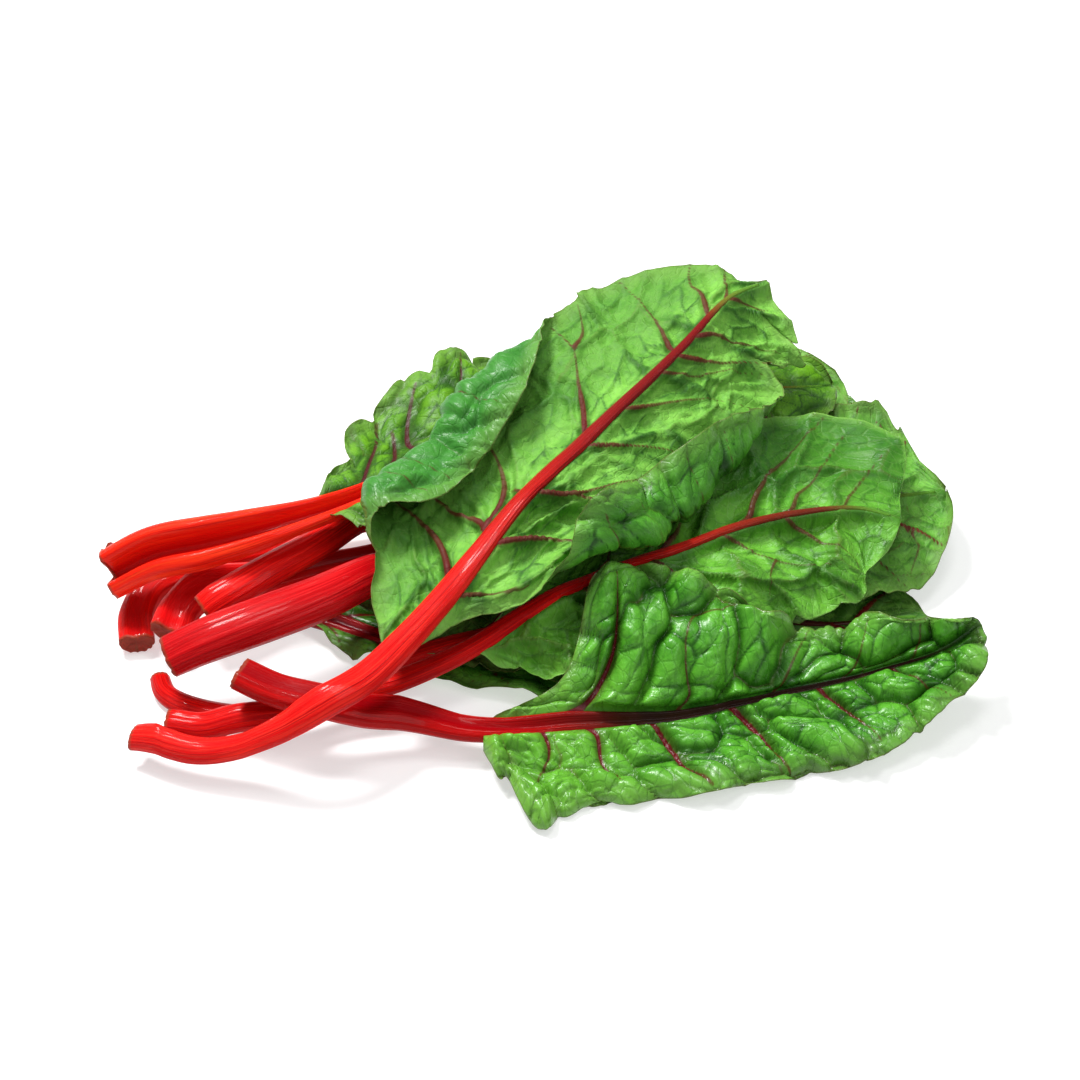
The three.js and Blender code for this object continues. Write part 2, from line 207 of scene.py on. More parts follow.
def blendRows(rows, share):
    # cubic through [share, value, value...] rows; the slope at a row comes from its neighbours
    rows = np.array(rows, float)
    share = np.asarray(share, float)
    last = len(rows) - 1
    i = np.minimum(np.searchsorted(rows[1:, 0], share), last - 1)
    a, b = rows[i], rows[i + 1]
    before, after = rows[np.maximum(i - 1, 0)], rows[np.minimum(i + 2, last)]
    span = b[..., :1] - a[..., :1]
    t = np.clip((share[..., None] - a[..., :1]) / span, 0, 1)
    slopeA = (b - before) / (b - before)[..., :1] * span
    slopeB = (after - a) / (after - a)[..., :1] * span
    rise = b - a
    bend = 3 * rise - 2 * slopeA - slopeB
    return (a + t * (slopeA + t * (bend + t * (slopeA + slopeB - 2 * rise))))[..., 1:]


def curveThrough(points, steps=40):
    # centripetal Catmull-Rom: b + t(s + t(3(c-b) - 2s - e + t(s + e - 2(c-b)))) between b and c
    p = np.array(points, float)
    p = np.vstack([2 * p[0] - p[1], p, 2 * p[-1] - p[-2]])
    gap = np.sqrt(np.linalg.norm(np.diff(p, axis=0), axis=1))[:, None, None]
    a, b, c, d = (p[k:len(p) - 3 + k, None] for k in range(4))
    u, v, w = gap[:-2], gap[1:-1], gap[2:]
    s = ((b - a) / u - (c - a) / (u + v) + (c - b) / v) * v
    e = ((c - b) / v - (d - b) / (v + w) + (d - c) / w) * v
    t = np.linspace(0, 1, steps, endpoint=False)[None, :, None]
    path = b + t * (s + t * (3 * (c - b) - 2 * s - e + t * (s + e - 2 * (c - b))))
    return np.vstack([path.reshape(-1, p.shape[1]), p[-2:-1]])


def alongCurve(path, share):
    # points at shares of the length, by linear steps between the samples, and the length
    length = np.append(0, np.cumsum(np.linalg.norm(np.diff(path, axis=0), axis=1)))
    return np.stack([np.interp(share * length[-1], length, path[:, k])
                     for k in range(path.shape[1])], -1), length[-1]


def leafFrame(leaf, share):
    # point, forward, far and sky: far = z x forward, turned about forward by the roll
    path = curveThrough(leaf["route"])
    nudge = 0.004
    at, length = alongCurve(path, share)
    forward = alongCurve(path, share + nudge)[0] - alongCurve(path, share - nudge)[0]
    forward /= np.linalg.norm(forward, axis=-1, keepdims=True)
    far = np.stack([-forward[..., 1], forward[..., 0], np.zeros(share.shape)], -1)
    far /= np.linalg.norm(far, axis=-1, keepdims=True)
    roll = np.radians(blendRows(leaf.get("roll", leafSet["roll"]), share))
    far = far * np.cos(roll) + np.cross(forward, far) * np.sin(roll)
    return at, forward, far, np.cross(forward, far), length


def halfOf(pair, side):
    # of two values, the first for the near half of a leaf, side -1, or the second for the far
    return pair[0] if side < 0 else pair[1]


# Random patterns. Each has a seed of its own: the leaf's, from its name, and a number added.
latticeSize = 64  # squares after which a pattern repeats


def leafSeed(leaf):
    # the sum of the letters of its name
    return sum(map(ord, leaf["name"]))


def hills(x, y, size, seed):
    # smooth random hills from -1 to 1: lattice values blended by 3t^2 - 2t^3 both ways
    lattice = np.random.default_rng(seed).uniform(-1, 1, (latticeSize, latticeSize))

    def corner(i, j):
        return lattice[i % latticeSize, j % latticeSize]

    u, v = x / size, y / size
    i, j = np.floor(u).astype(int), np.floor(v).astype(int)
    s, t = smoothStep(u - i, 0, 1), smoothStep(v - j, 0, 1)
    low = corner(i, j) * (1 - s) + corner(i + 1, j) * s
    high = corner(i, j + 1) * (1 - s) + corner(i + 1, j + 1) * s
    return low * (1 - t) + high * t


def cells(x, y, size, seed):
    # one point is scattered in each square: gap to the border of the nearest point's cell, which
    # is half of (second distance - first distance), and that point's own random value
    rng = np.random.default_rng(seed)
    place = rng.uniform(0.1, 0.9, (latticeSize, latticeSize, 2))
    own = rng.uniform(0, 1, (latticeSize, latticeSize))
    u, v = x / size, y / size
    i, j = np.floor(u).astype(int), np.floor(v).astype(int)
    first, second = np.full(x.shape, np.inf), np.full(x.shape, np.inf)
    value = np.zeros(x.shape)
    for a in range(-2, 3):
        for b in range(-2, 3):
            m, n = (i + a) % latticeSize, (j + b) % latticeSize
            gap = np.hypot(i + a + place[m, n, 0] - u, j + b + place[m, n, 1] - v)
            nearer = gap < first
            second = np.where(nearer, first, np.minimum(second, gap))
            value = np.where(nearer, own[m, n], value)
            first = np.where(nearer, gap, first)
    return (second - first) * size / 2, value


veinSet = {
    "steps": 6,  # straight pieces from one point of a vein to the next
    "end": 0.2,  # width at its end, as a share of the width at its start
    "taper": 0.8,  # power by which it narrows
    "creaseHalf": (0.75, 0.25),  # half widths over which a vein, as it thins, loses its crease, mm
    "creaseFade": 6,  # how far off the crease of the thinnest is taken to be, mm
    "wander": 0.2,  # of evenly set veins, as a share of the pitch
    "lean": (0.1, 0.15),  # share of the blade by which they lean towards the tip
    "width": 2.2,
    "forkWidth": 1.3,
}


def veinField(leaf, along, across, length):
    # for every point of the blade: gap in mm to the edge of the nearest side vein, and that
    # vein's half width there. Distance to a segment: |p - (a + t(b - a))|, t clamped to 0..1
    gap, half = np.full(along.shape, np.inf), np.ones(along.shape)
    for side, points, width in leaf["veins"]:
        share, reachShare = np.array(points, float).T
        rows = blendRows(halfOf((leaf["near"], leaf["far"]), side), share)
        reach, lean = rows[:, 0], rows[:, 5]
        line = np.stack([share * length + lean * reachShare ** 2, side * reachShare * reach], -1)
        line = curveThrough(line, veinSet["steps"])
        halves = width / 2 * np.linspace(1, veinSet["end"], len(line)) ** veinSet["taper"]
        for a, b, halfA, halfB in zip(line[:-1], line[1:], halves[:-1], halves[1:]):
            ab = b - a
            t = np.clip(((along - a[0]) * ab[0] + (across - a[1]) * ab[1]) / (ab @ ab), 0, 1)
            here = halfA + t * (halfB - halfA)
            beside = np.hypot(along - a[0] - t * ab[0], across - a[1] - t * ab[1]) - here
            half = np.where(beside < gap, here, half)
            gap = np.minimum(gap, beside)
    return gap, half


def featherVeins(leaf, count):
    # side veins at even shares of the blade, each leaning towards the tip and forking halfway
    rng = np.random.default_rng(len(leaf["name"]) + count)
    wander = veinSet["wander"]
    veins = []
    for side in (-1, 1):  # those of the far half start a little further on
        for k in range(count):
            s = (k + 0.4 + rng.uniform(-wander, wander) + 0.2 * side) / (count + 0.6)
            lean = rng.uniform(*veinSet["lean"])
            main = [(s, 0.0), (s + 0.4 * lean, 0.3), (s + 0.8 * lean, 0.65), (s + lean, 0.95)]
            fork = [(s + 0.5 * lean, 0.4), (s + 0.55 * lean, 0.6), (s + 0.3 * lean, 0.85)]
            veins += [(side, main, veinSet["width"]), (side, fork, veinSet["forkWidth"])]
    return veins


quiltSet = {
    # mm by which the blisters are moved about, and over how many mm that changes
    "drift": ((5.5, 26), (2.2, 9)),
    "slant": 0.5,  # mm their rows run towards the tip for each mm out from the midrib
    "patches": 34,  # mm over which the smaller blisters go from lower to higher
    "shoulder": 0.36,  # share of its size over which a blister rises
    "roundness": 0.7,
    "lowest": 0.35,  # height of the lowest blisters, as a share
    "creaseReach": 9.0,  # gap past which a crease counts for nothing, mm
    "wrinkles": (8, 0.12),  # size in mm, and depth as a share of the biggest blisters' height
}


def quilt(leaf, side, place, lines, seed):
    # blisters of each size: t = gap to the border of the cell / (shoulder size), at most 1, and
    # the height is (t (2 - t))^roundness of that cell's own share. Also the gap to the nearest
    # crease, and to the borders of the biggest cells
    (wideBy, wide), (fineBy, fine) = quiltSet["drift"]
    drift = [wideBy * hills(*place, wide, seed + k) + fineBy * hills(*place, fine, seed + 10 + k)
             for k in (3, 4)]
    u = place[0] - quiltSet["slant"] * np.abs(place[1]) + drift[0]
    v = place[1] + drift[1]
    patchy = 0.75 + 0.5 * hills(*place, quiltSet["patches"], seed + 21)
    relief, crease = np.zeros(u.shape), np.full(u.shape, quiltSet["creaseReach"])
    patch = halfOf(leaf.get("patch", (1, 1)), side)
    for k, (height, size) in enumerate(zip(leaf["crinkle"], leaf["blister"])):
        height, size = height * patch, size * patch
        border, own = cells(u, v, size, seed + 50 + k)
        if k == 0:
            net = border
        border = np.minimum(border, np.maximum(lines, 0))
        t = np.minimum(border / (quiltSet["shoulder"] * size), 1)
        relief += (height * (quiltSet["lowest"] + own) * (t * (2 - t)) ** quiltSet["roundness"] *
                   (patchy if k else 1))
        if k < 2:
            crease = np.minimum(crease, border * (1 + 2.5 * k))
    wrinkleSize, wrinkleDepth = quiltSet["wrinkles"]
    wrinkle = (1 - np.abs(hills(u, v, wrinkleSize, seed + 70))) ** 6
    return relief - wrinkleDepth * leaf["crinkle"][0] * wrinkle, crease, net


def marginReach(leaf, side, share, mm, reach, seed):
    # the reach, with bells exp(-(d / spread)^2) for the margin's own lobes, narrowed to the tip
    # by sqrt(1 - t^2), and notched where rounded lobes meet: each is about sqrt(1 - s^2), with s
    # from -1 to 1 over it
    for lobeSide, lobeShare, spread, out in leaf.get("lobes", []):
        if lobeSide == side:
            reach = reach + out * np.exp(-((share - lobeShare) / spread) ** 2)
    tip = np.clip((share - 1 + leafSet["tipRounding"]) / leafSet["tipRounding"], 0, 1)
    lobe = mm / leaf.get("lobe", leafSet["lobe"]) + 0.8 * hills(mm, 0, 57, seed + side)
    s = 2 * (lobe - np.floor(lobe)) - 1
    notch = leaf["frill"][1] * (0.7 + 0.6 * hills(mm, 0, 70, seed + 5 + side))
    scallop = 1 + notch * (2 * np.sqrt(1 - 0.94 * s * s) - 1.5 +
                           0.15 * hills(mm, 0, 6, seed + 7 + side))
    return np.maximum(reach * np.sqrt(1 - tip ** 2) * scallop, leafSet["tipReach"])


def bladeHalf(leaf, side, share, spine, seed):
    # from the midrib the half goes out by reach, turned by (rise + curl q) risen + fold folded
    # + turn turned at q of its reach, and is then crinkled along its normal
    at, forward, far, sky, bladeLength, width = spine
    q = np.linspace(0, 1, leaf["columns"] + 1)[None, :]
    rows = blendRows(halfOf((leaf["near"], leaf["far"]), side), share)
    reach, rise, curl, fold, foldAt, lean = (rows[:, k:k + 1] for k in range(6))
    share = share[:, None]
    mm = share * bladeLength
    reach = marginReach(leaf, side, share, mm, reach, seed)
    # the margins turn up more and less along their length
    turn = halfOf(leaf["turn"], side) * (0.6 + 0.7 * hills(mm, 0, 23, seed + 40 + side))

    def angleAt(s):
        risen = smoothStep(s * reach, 0.35 * width, 0.9 * width)
        folded = smoothStep(s, foldAt - leafSet["foldSpan"], foldAt + leafSet["foldSpan"])
        turned = smoothStep((1 - s) * reach, leafSet["turnReach"], 0)
        return np.radians((rise + curl * s) * risen + fold * folded + turn * turned)

    step = q[0, 1]
    middle = angleAt((q[:, 1:] + q[:, :-1]) / 2)
    zero = np.zeros((len(share), 1))
    out = np.hstack([zero, np.cumsum(np.cos(middle), 1)]) * reach * step
    up = np.hstack([zero, np.cumsum(np.sin(middle), 1)]) * reach * step
    angle = angleAt(q)
    across = far * side
    point = (at[:, None] + across[:, None] * out[..., None] + sky[:, None] * up[..., None] +
             forward[:, None] * (lean * q * q)[..., None])
    normal = sky[:, None] * np.cos(angle)[..., None] - across[:, None] * np.sin(angle)[..., None]

    # long waves, and small ones that grow towards the margin
    phase = 2 * np.pi * leafSet["marginWaves"] * share + side * 1.3
    wave = (leaf["ruffle"] * q * q * (reach / leafSet["waveReach"]) *
            np.sin(phase + leaf["route"][0][0]))
    frill = leaf["frill"][0] * q ** 3 * (hills(mm, 20 * q, 11, seed + 20 + side) +
                                         0.5 * hills(mm, 12 * q, 5, seed + 31))

    # blisters between the veins, standing up from the face
    local = (mm + lean * q * q, side * q * reach)
    gap, veinHalf = veinField(leaf, *local, bladeLength)
    lines = np.minimum(gap + veinSet["creaseFade"] * smoothStep(veinHalf, *veinSet["creaseHalf"]),
                       np.abs(local[1]) - 0.45 * width)
    relief, crease, net = quilt(leaf, side, local, lines, seed)
    for place, where, reachShare, radius, times in leaf.get("crumple", []):
        if place == side:
            offset = np.hypot(mm - where * bladeLength, (q - reachShare) * reach)
            spread = times * np.exp(-(offset / radius) ** 2)
            relief = relief + (relief - 0.5 * leaf["crinkle"][0]) * spread
    relief *= halfOf(leaf.get("sides", (1, 1)), side)
    # broad bumps, flatter past a fold, and all of it calm beside the midrib and at the base
    flat = 1 - 0.7 * np.clip(fold / 180, 0, 1) * smoothStep(q, foldAt - 0.3, foldAt)
    broad = leaf.get("sway", leafSet["sway"]) * hills(*local, 32, seed + 9) * flat
    face = -1 if leaf["backUp"] else 1
    calm = smoothStep(np.abs(local[1]), 0.3 * width, 0.5 * width + 4) * smoothStep(mm, 0, 8)
    point = point + normal * (wave + frill + (face * relief + broad) * calm)[..., None]
    return point, {"along": local[0], "across": local[1], "veinGap": gap, "veinHalf": veinHalf,
                   "crease": crease, "marginGap": (1 - q) * reach, "netGap": net}


def bladeSurface(leaf):
    # middle surface of the blade from margin to margin, with its fields: mm along and across,
    # gaps to the nearest side vein, crease, margin and cell border, and half width of that vein
    shares = np.linspace(0, 1, leaf["rows"] + 1)
    share = shares - leafSet["endCrowding"] * np.sin(2 * np.pi * shares) / (2 * np.pi)
    along = leaf["blade"] + (1 - leaf["blade"]) * share
    at, forward, far, sky, length = leafFrame(leaf, along)
    width = blendRows(leaf["widths"], along)
    spine = (at, forward, far, sky, length * (1 - leaf["blade"]), width)
    nearPoints, nearFields = bladeHalf(leaf, -1, share, spine, leafSeed(leaf))
    farPoints, farFields = bladeHalf(leaf, 1, share, spine, leafSeed(leaf))
    points = np.concatenate([nearPoints[:, ::-1], farPoints[:, 1:]], 1)
    fields = {key: np.concatenate([nearFields[key][:, ::-1], farFields[key][:, 1:]], 1)
              for key in nearFields}
    # the sheet meets its midrib low on the back of the leaf, and near the rims on its face
    beside = np.abs(fields["across"]) / width
    if leaf["backUp"]:
        meet = 0.28 * np.exp(-(beside / 1.1) ** 2)
    else:
        meet = 0.85 * smoothStep(beside, 0.15, 0.5) * np.exp(-np.maximum(beside - 0.5, 0) ** 2)
    points += sky[:, None] * (leafSet["stalkDepth"] * width * meet)[..., None]
    return points, fields


stalkSet = {
    # section, round on the back of the leaf and channelled on the face: half widths, depths
    "section": [[0, 0], [0.5, 0.07], [0.88, 0.34], [1, 0.7], [0.62, 1],
                [0, 0.7], [-0.62, 1], [-1, 0.7], [-0.88, 0.34], [-0.5, 0.07]],
    "channelPoint": 5,  # the one at the bottom of the channel
    # rings of the cut end, from its middle: share of the way out, mm that they are sunk
    "cut": [(0.25, 1.1), (0.5, 1.0), (0.78, 0.5), (0.93, -0.2)],
    "cutMiddle": 1.2,  # mm that its middle is sunk
    "cutRough": 0.35,  # mm its rings are uneven by
    "rimRough": 0.5,  # and its rim
    "patternRadius": 12,  # of the round tube that the pattern of a stalk lies on, mm
}


def stalkOutline(channel):
    # the section as a smooth closed curve, its channel's bottom as high as it is told
    own = np.array(stalkSet["section"])
    own[stalkSet["channelPoint"], 1] = channel
    steps = leafSet["stalkSides"] // len(own)
    closed = curveThrough(np.vstack([own[-2:], own, own[:3]]), steps)
    return closed[2 * steps:(2 + len(own)) * steps]


def stalkSurface(leaf):
    # outline (a, n) of the stalk carried along the route: at + far a w/2 + sky n w depth, with
    # ribs; also the mm along it of each ring, and the middle of its cut end
    share = np.linspace(0, leafSet["ribEnd"], leafSet["stalkSections"])
    at, forward, far, sky, length = leafFrame(leaf, share)
    width = blendRows(leaf["widths"], share)
    sides, seed = leafSet["stalkSides"], leafSeed(leaf)
    channel = blendRows(leaf.get("channel", leafSet["channel"]), share)[:, None]
    ring = stalkOutline(0) * (1 - channel) + stalkOutline(1) * channel
    turn = np.arange(sides) / sides * 2 * np.pi
    mm = (share * length)[:, None]
    # twelve even ridges, short lumps and long uneven ridges, as shares of the section
    rib = (0.03 * np.cos(12 * turn + 0.5 * hills(mm, 0, 80, seed)) +
           0.04 * hills(mm / 14, 3 * turn, 2.4, seed + 1) +
           0.05 * hills(mm, 8 * turn, 50, seed + 2))
    middle = np.array([0, 0.5])
    shape = middle + (ring - middle) * (1 + rib)[..., None]
    a, n = shape[..., 0], shape[..., 1]
    if leaf["backUp"]:
        a, n = -a, 1 - n
    points = (at[:, None] + far[:, None] * (a * width / 2)[..., None] +
              sky[:, None] * (n * width * leafSet["stalkDepth"])[..., None])
    centre = points[0].mean(0)
    rng = np.random.default_rng(seed)
    cap = []
    for outward, sunk in stalkSet["cut"]:
        sunk = sunk + stalkSet["cutRough"] * rng.uniform(-1, 1, (sides, 1))
        cap.append(centre + (points[0] - centre) * outward + forward[0] * sunk)
    rim = points[0] + forward[0] * stalkSet["rimRough"] * rng.uniform(-1, 1, (sides, 1))
    points = np.concatenate([np.array(cap), rim[None], points[1:]])
    along = np.concatenate([np.full(len(cap), -1.0), mm[:, 0]])
    return points, along, centre + forward[0] * stalkSet["cutMiddle"]


# Stacking, as in the solids: each leaf is raised where the pile under it asks for room. The map
# holds the height of the pile at points that are a cell apart.
pileMap = {
    "columns": 130, "rows": 100, "corner": (-260, -180), "cell": 4,
    "bend": 3,  # cells over which a leaf bends to clear what is under it
    "gap": 0.9,  # clear height left between a leaf and the pile, mm
    "passes": 20,  # at most
    "enough": 0.05,  # the last pass raises by less than this, mm
}


def toMap(points):
    # columns and rows of the map at which points lie, with their fractions
    x = (points[:, 0] - pileMap["corner"][0]) / pileMap["cell"]
    y = (points[:, 1] - pileMap["corner"][1]) / pileMap["cell"]
    return x, y


def press(heights, points, keep):
    # the map keeps the highest or the lowest of the points around each of its own
    x, y = toMap(points)
    at = np.floor(y).astype(int) * pileMap["columns"] + np.floor(x).astype(int)
    for shift in (0, 1, pileMap["columns"], pileMap["columns"] + 1):
        keep.at(heights, at + shift, points[:, 2])


def soften(heights):
    # highest, then mean, of the values within the bend, along each direction
    grid = heights.reshape(pileMap["rows"], pileMap["columns"])
    reach = pileMap["bend"]
    for axis in (1, 0):
        for join in (np.max, np.mean):
            pad = [(0, 0), (0, 0)]
            pad[axis] = (reach, reach)
            wide = np.pad(grid, pad, mode="edge")
            size = grid.shape[axis]
            grid = join([np.take(wide, range(k, k + size), axis) for k in range(2 * reach + 1)], 0)
    return grid


def layOn(pile, parts):
    # passes of lift = max(0, pile + gap - underside), softened and added to the points' height
    for _ in range(pileMap["passes"]):
        underside = np.full(pile.shape, np.inf)
        for points in parts:
            press(underside, points, np.minimum)
        lift = np.maximum(0, pile + pileMap["gap"] - underside)
        if lift.max() < pileMap["enough"]:
            break
        grid = soften(lift)
        for points in parts:
            x, y = toMap(points)
            c, r = np.floor(x).astype(int), np.floor(y).astype(int)
            s, t = x - c, y - r
            low = grid[r, c] * (1 - s) + grid[r, c + 1] * s
            high = grid[r + 1, c] * (1 - s) + grid[r + 1, c + 1] * s
            points[:, 2] += low * (1 - t) + high * t
    for points in parts:
        press(pile, points, np.maximum)


def stackLeaf(leaf, pile):
    # the leaf's surfaces, raised in place by the pile and moved so that the pile is centred
    blade, fields = bladeSurface(leaf)
    stalk, along, cutMiddle = stalkSurface(leaf)
    layOn(pile, [blade.reshape(-1, 3), stalk.reshape(-1, 3), cutMiddle[None]])
    shift = np.array(footprint)
    return blade - shift, fields, stalk - shift, along, cutMiddle - shift


bladeLooks = {
    # the face of a leaf and its back, each from painted shade in the creases to painted light on
    # the crowns of the blisters
    "faceCreaseShade": (0.008, 0.06, 0.002), "face": (0.048, 0.24, 0.012),
    "faceCrownLight": (0.13, 0.43, 0.035),
    "backCreaseShade": (0.03, 0.12, 0.008), "back": (0.12, 0.36, 0.033),
    "backCrownLight": (0.22, 0.52, 0.07),
    # side veins, their thin ends, and the green beside them
    "vein": (0.15, 0.005, 0.006), "veinEnd": (0.07, 0.03, 0.01), "veinSide": (0.05, 0.08, 0.01),
    "margin": (0.16, 0.3, 0.06),  # the last stretch of the blade, paler: partly its thin green, partly painted light where the margin turns up
    "marginReach": 13,  # and how wide it is, mm
    "rim": (0.08, 0.07, 0.015),  # its very edge
    "rough": (0.26, 0.38),
    "backRough": 0.2,  # how much rougher the back is
    "coat": 0.16,  # shine of the face
    "net": 1.0,  # strength of the fine net, and of the lines round the biggest blisters
    "fade": 0.3,  # share by which the painted shade of the creases goes in places
    # A leaf may also have farFace and farBackShade, which its far half goes to, farBackShade being
    # painted shade, and nearBasePaleAndLit, partly painted light, which the base of its near half
    # goes to.
}


def bladeFinish(name, changes):
    # green from painted shade in the creases to painted light on the crowns, the far half and the
    # base apart, then the margin, the net, the veins with the green beside them, and the rim over
    # it
    look = {**bladeLooks, **changes}
    finish = Finish(bpy.data.materials.new(name), "Principled BSDF",
                    {"IOR": 1.42, "Specular IOR Level": 0.28,
                     "Coat Roughness": 0.18, "Coat IOR": 1.45,
                     "Subsurface Weight": 0.08, "Subsurface Scale": 0.001,
                     "Subsurface Radius": (0.6, 1.0, 0.25)})
    place = finish.field("leafPlace", "Vector")  # mm along and across the leaf
    faceSide = finish.field("faceSide")  # 1 on the face, 0 on the back
    veinGap, veinHalf = finish.field("veinGap"), finish.field("veinHalf")
    crease, marginGap = finish.field("crease"), finish.field("marginGap")
    broad = finish.grain(place, 0.045)
    mottle = finish.grain(place, 0.22, 4.0, 0.6)
    tone = finish.ease(broad * 0.6 + mottle * 0.4, 0.36, 0.64)
    # painted shade: darker into the creases between the blisters, faded in places; painted light on
    # their crowns where the random tone is high
    outOfCreaseShade = finish.ease(crease, 0.0, 3.5)
    outOfCreaseShade = outOfCreaseShade.atLeast(finish.ease(broad, 0.44, 0.58) * look["fade"])
    face = finish.mix(look["faceCreaseShade"], look["face"], outOfCreaseShade * 0.8 + tone * 0.2)
    face = finish.mix(face, look["faceCrownLight"], tone * outOfCreaseShade * 0.6)
    back = finish.mix(look["backCreaseShade"], look["back"], outOfCreaseShade * 0.65 + tone * 0.35)
    back = finish.mix(back, look["backCrownLight"], tone * outOfCreaseShade * 0.7)
    farHalf = finish.ease(finish.split(place, 1), 10.0, 30.0)
    if "nearBasePaleAndLit" in look:
        # the base of the near half paler: partly its own thin green, partly painted light where it
        # turns up
        base = finish.ease(finish.split(place, 0), 30.0, 100.0, 0.6, 0.0)
        face = finish.mix(face, look["nearBasePaleAndLit"], base * (1 - farHalf))
    if "farFace" in look:
        face = finish.mix(face, look["farFace"], farHalf * 0.8)
    # painted shade: the back of the far half darker, where it lies under a folded flap
    if "farBackShade" in look:
        back = finish.mix(back, look["farBackShade"], farHalf * 0.6)
    green = finish.mix(back, face, faceSide)
    # the margin paler: partly its own thin green, partly painted light
    edge = finish.ease(marginGap, 1.0, look["marginReach"], 0.4, 0.0)
    green = finish.mix(green, look["margin"], edge)
    net = finish.node("ShaderNodeTexVoronoi", {"feature": "DISTANCE_TO_EDGE"},
                      {"Vector": place, "Scale": 0.2}, output="Distance")
    netLine = finish.ease(net, 0.0, 0.1, 1.0, 0.0)
    netColour = finish.mix((0.17, 0.3, 0.08), (0.015, 0.08, 0.006), faceSide)
    green = finish.mix(green, netColour, netLine * (0.22 * look["net"]))
    border = finish.ease(finish.field("netGap"), 0.0, 0.7, 1.0, 0.0)
    border = border * finish.ease(broad, 0.4, 0.6) * (0.6 * look["net"])
    green = finish.mix(green, look["veinEnd"], border)
    beside = finish.ease(veinGap, 0.0, 3.0, 1.0, 0.0) * finish.ease(veinHalf, 0.2, 1.2)
    green = finish.mix(green, look["veinSide"], beside * 0.55)
    thick = finish.ease(veinHalf, 0.2, 1.0)
    vein = finish.mix(look["veinEnd"], look["vein"], thick)
    vein = finish.mix(vein, tuple(0.4 * c for c in look["vein"]), mottle * 0.7)
    veinMask = finish.ease(veinGap, -0.2, 0.45, 1.0, 0.0) * (0.75 + 0.25 * thick)
    colour = finish.mix(green, vein, veinMask)
    colour = finish.mix(colour, look["rim"], finish.ease(marginGap, 0.1, 1.0, 0.55, 0.0))
    low, high = look["rough"]
    rough = finish.ease(mottle, 0.3, 0.7, low, high) + (1 - faceSide) * look["backRough"]
    height = (1 - netLine) * 0.3 + finish.grain(place, 0.9) * 0.35 + mottle * 0.7
    bump = finish.bump(height, 0.6, 0.0009)
    finish.put(finish.shader, {"Base Color": colour, "Roughness": rough, "Normal": bump,
                               "Coat Weight": faceSide * look["coat"]})
    return finish.owner


stalkLooks = {
    # deep: the dark stripes along the stalk, and also painted shade down the walls of the channel
    "darkStripeAndShade": (0.2, 0.0, 0.002), "body": (0.46, 0.001, 0.002), "bright": (0.7, 0.006, 0.003),
    "streak": (0.8, 0.1, 0.07),  # pale fibres along it
    "grooveShade": (0.1, 0.0, 0.003),  # painted shade at the bottom of the channel
    "cutRim": (0.2, 0.05, 0.022), "cutInside": (0.34, 0.03, 0.022),
    "ribEnd": (0.2, 0.006, 0.008),  # what the midrib goes to
    "ribFrom": (0.55, 0.9),  # from one to the other share of its length
    "tip": (0.09, 0.28, 0.025),  # green that it ends in
}


def stalkFinish(name, changes):
    # red in long stripes, painted shade down the channel, the thin end of the midrib apart, and the
    # cut end
    look = {**stalkLooks, **changes}
    finish = Finish(bpy.data.materials.new(name), "Principled BSDF",
                    {"IOR": 1.45, "Specular IOR Level": 0.05,
                     "Coat Weight": 0.12, "Coat Roughness": 0.08})
    place = finish.field("leafPlace", "Vector")  # mm along the stalk, then round it
    cutGap, ribShare = finish.field("cutGap"), finish.field("ribShare")
    stripes = finish.grain(finish.stretch(place, (0.012, 0.9, 1)), 1.0, 4.0, 0.6)
    fibres = finish.grain(finish.stretch(place, (0.05, 3.2, 1)), 1.0, 3.0, 0.6)
    patches = finish.grain(finish.stretch(place, (0.03, 0.12, 1)), 1.0, 2.0)
    red = finish.mix(look["body"], look["bright"], finish.ease(patches, 0.4, 0.65))
    red = finish.mix(red, look["darkStripeAndShade"], finish.ease(stripes, 0.5, 0.7) * 0.8)
    red = finish.mix(red, look["streak"], finish.ease(fibres, 0.6, 0.75) * 0.4)
    height = finish.split(place, 1)  # from -12 in the channel to 12 on the back
    # painted shade: darker down the walls of the channel, darkest at its bottom
    red = finish.mix(red, look["darkStripeAndShade"], finish.ease(height, -11.5, -7.5, 0.55, 0.0))
    red = finish.mix(red, look["grooveShade"], finish.ease(height, -12.0, -11.2, 0.9, 0.0))
    red = finish.mix(red, look["ribEnd"], finish.ease(ribShare, *look["ribFrom"]))
    red = finish.mix(red, look["tip"], finish.ease(ribShare, 0.9, 0.99, 0.0, 0.9))
    rim = finish.ease(cutGap, 0.3, 2.0, 1.0, 0.0)
    red = finish.mix(red, look["cutRim"], rim * 0.7)
    inside = finish.ease(cutGap, -0.6, -0.2, 1.0, 0.0)
    pith = finish.mix(look["cutInside"], look["cutRim"], finish.ease(fibres, 0.4, 0.65))
    red = finish.mix(red, pith, inside)
    rough = finish.ease(fibres, 0.3, 0.7, 0.24, 0.4) + inside * 0.3
    bump = finish.bump(fibres * 0.7 + stripes * 0.8, 0.6, 0.0007)
    finish.put(finish.shader, {"Base Color": red, "Roughness": rough, "Normal": bump})
    return finish.owner


def fillPiece(name, points, faces, fields, material):
    # one mesh from points in mm, quads or triangles, and a value per point for each field
    mesh = bpy.data.meshes.new(name)
    mesh.from_pydata((points * millimetre).tolist(), [], faces)
    mesh.update()
    mesh.polygons.foreach_set("use_smooth", np.ones(len(mesh.polygons), bool))
    for key, values in fields.items():
        kind, slot = ("FLOAT_VECTOR", "vector") if values.ndim == 2 else ("FLOAT", "value")
        layer = mesh.attributes.new(key, kind, "POINT")
        layer.data.foreach_set(slot, np.ascontiguousarray(values, np.float32).ravel())
    mesh.materials.append(material)
    piece = bpy.data.objects.new(name, mesh)
    scene.collection.objects.link(piece)
    return piece


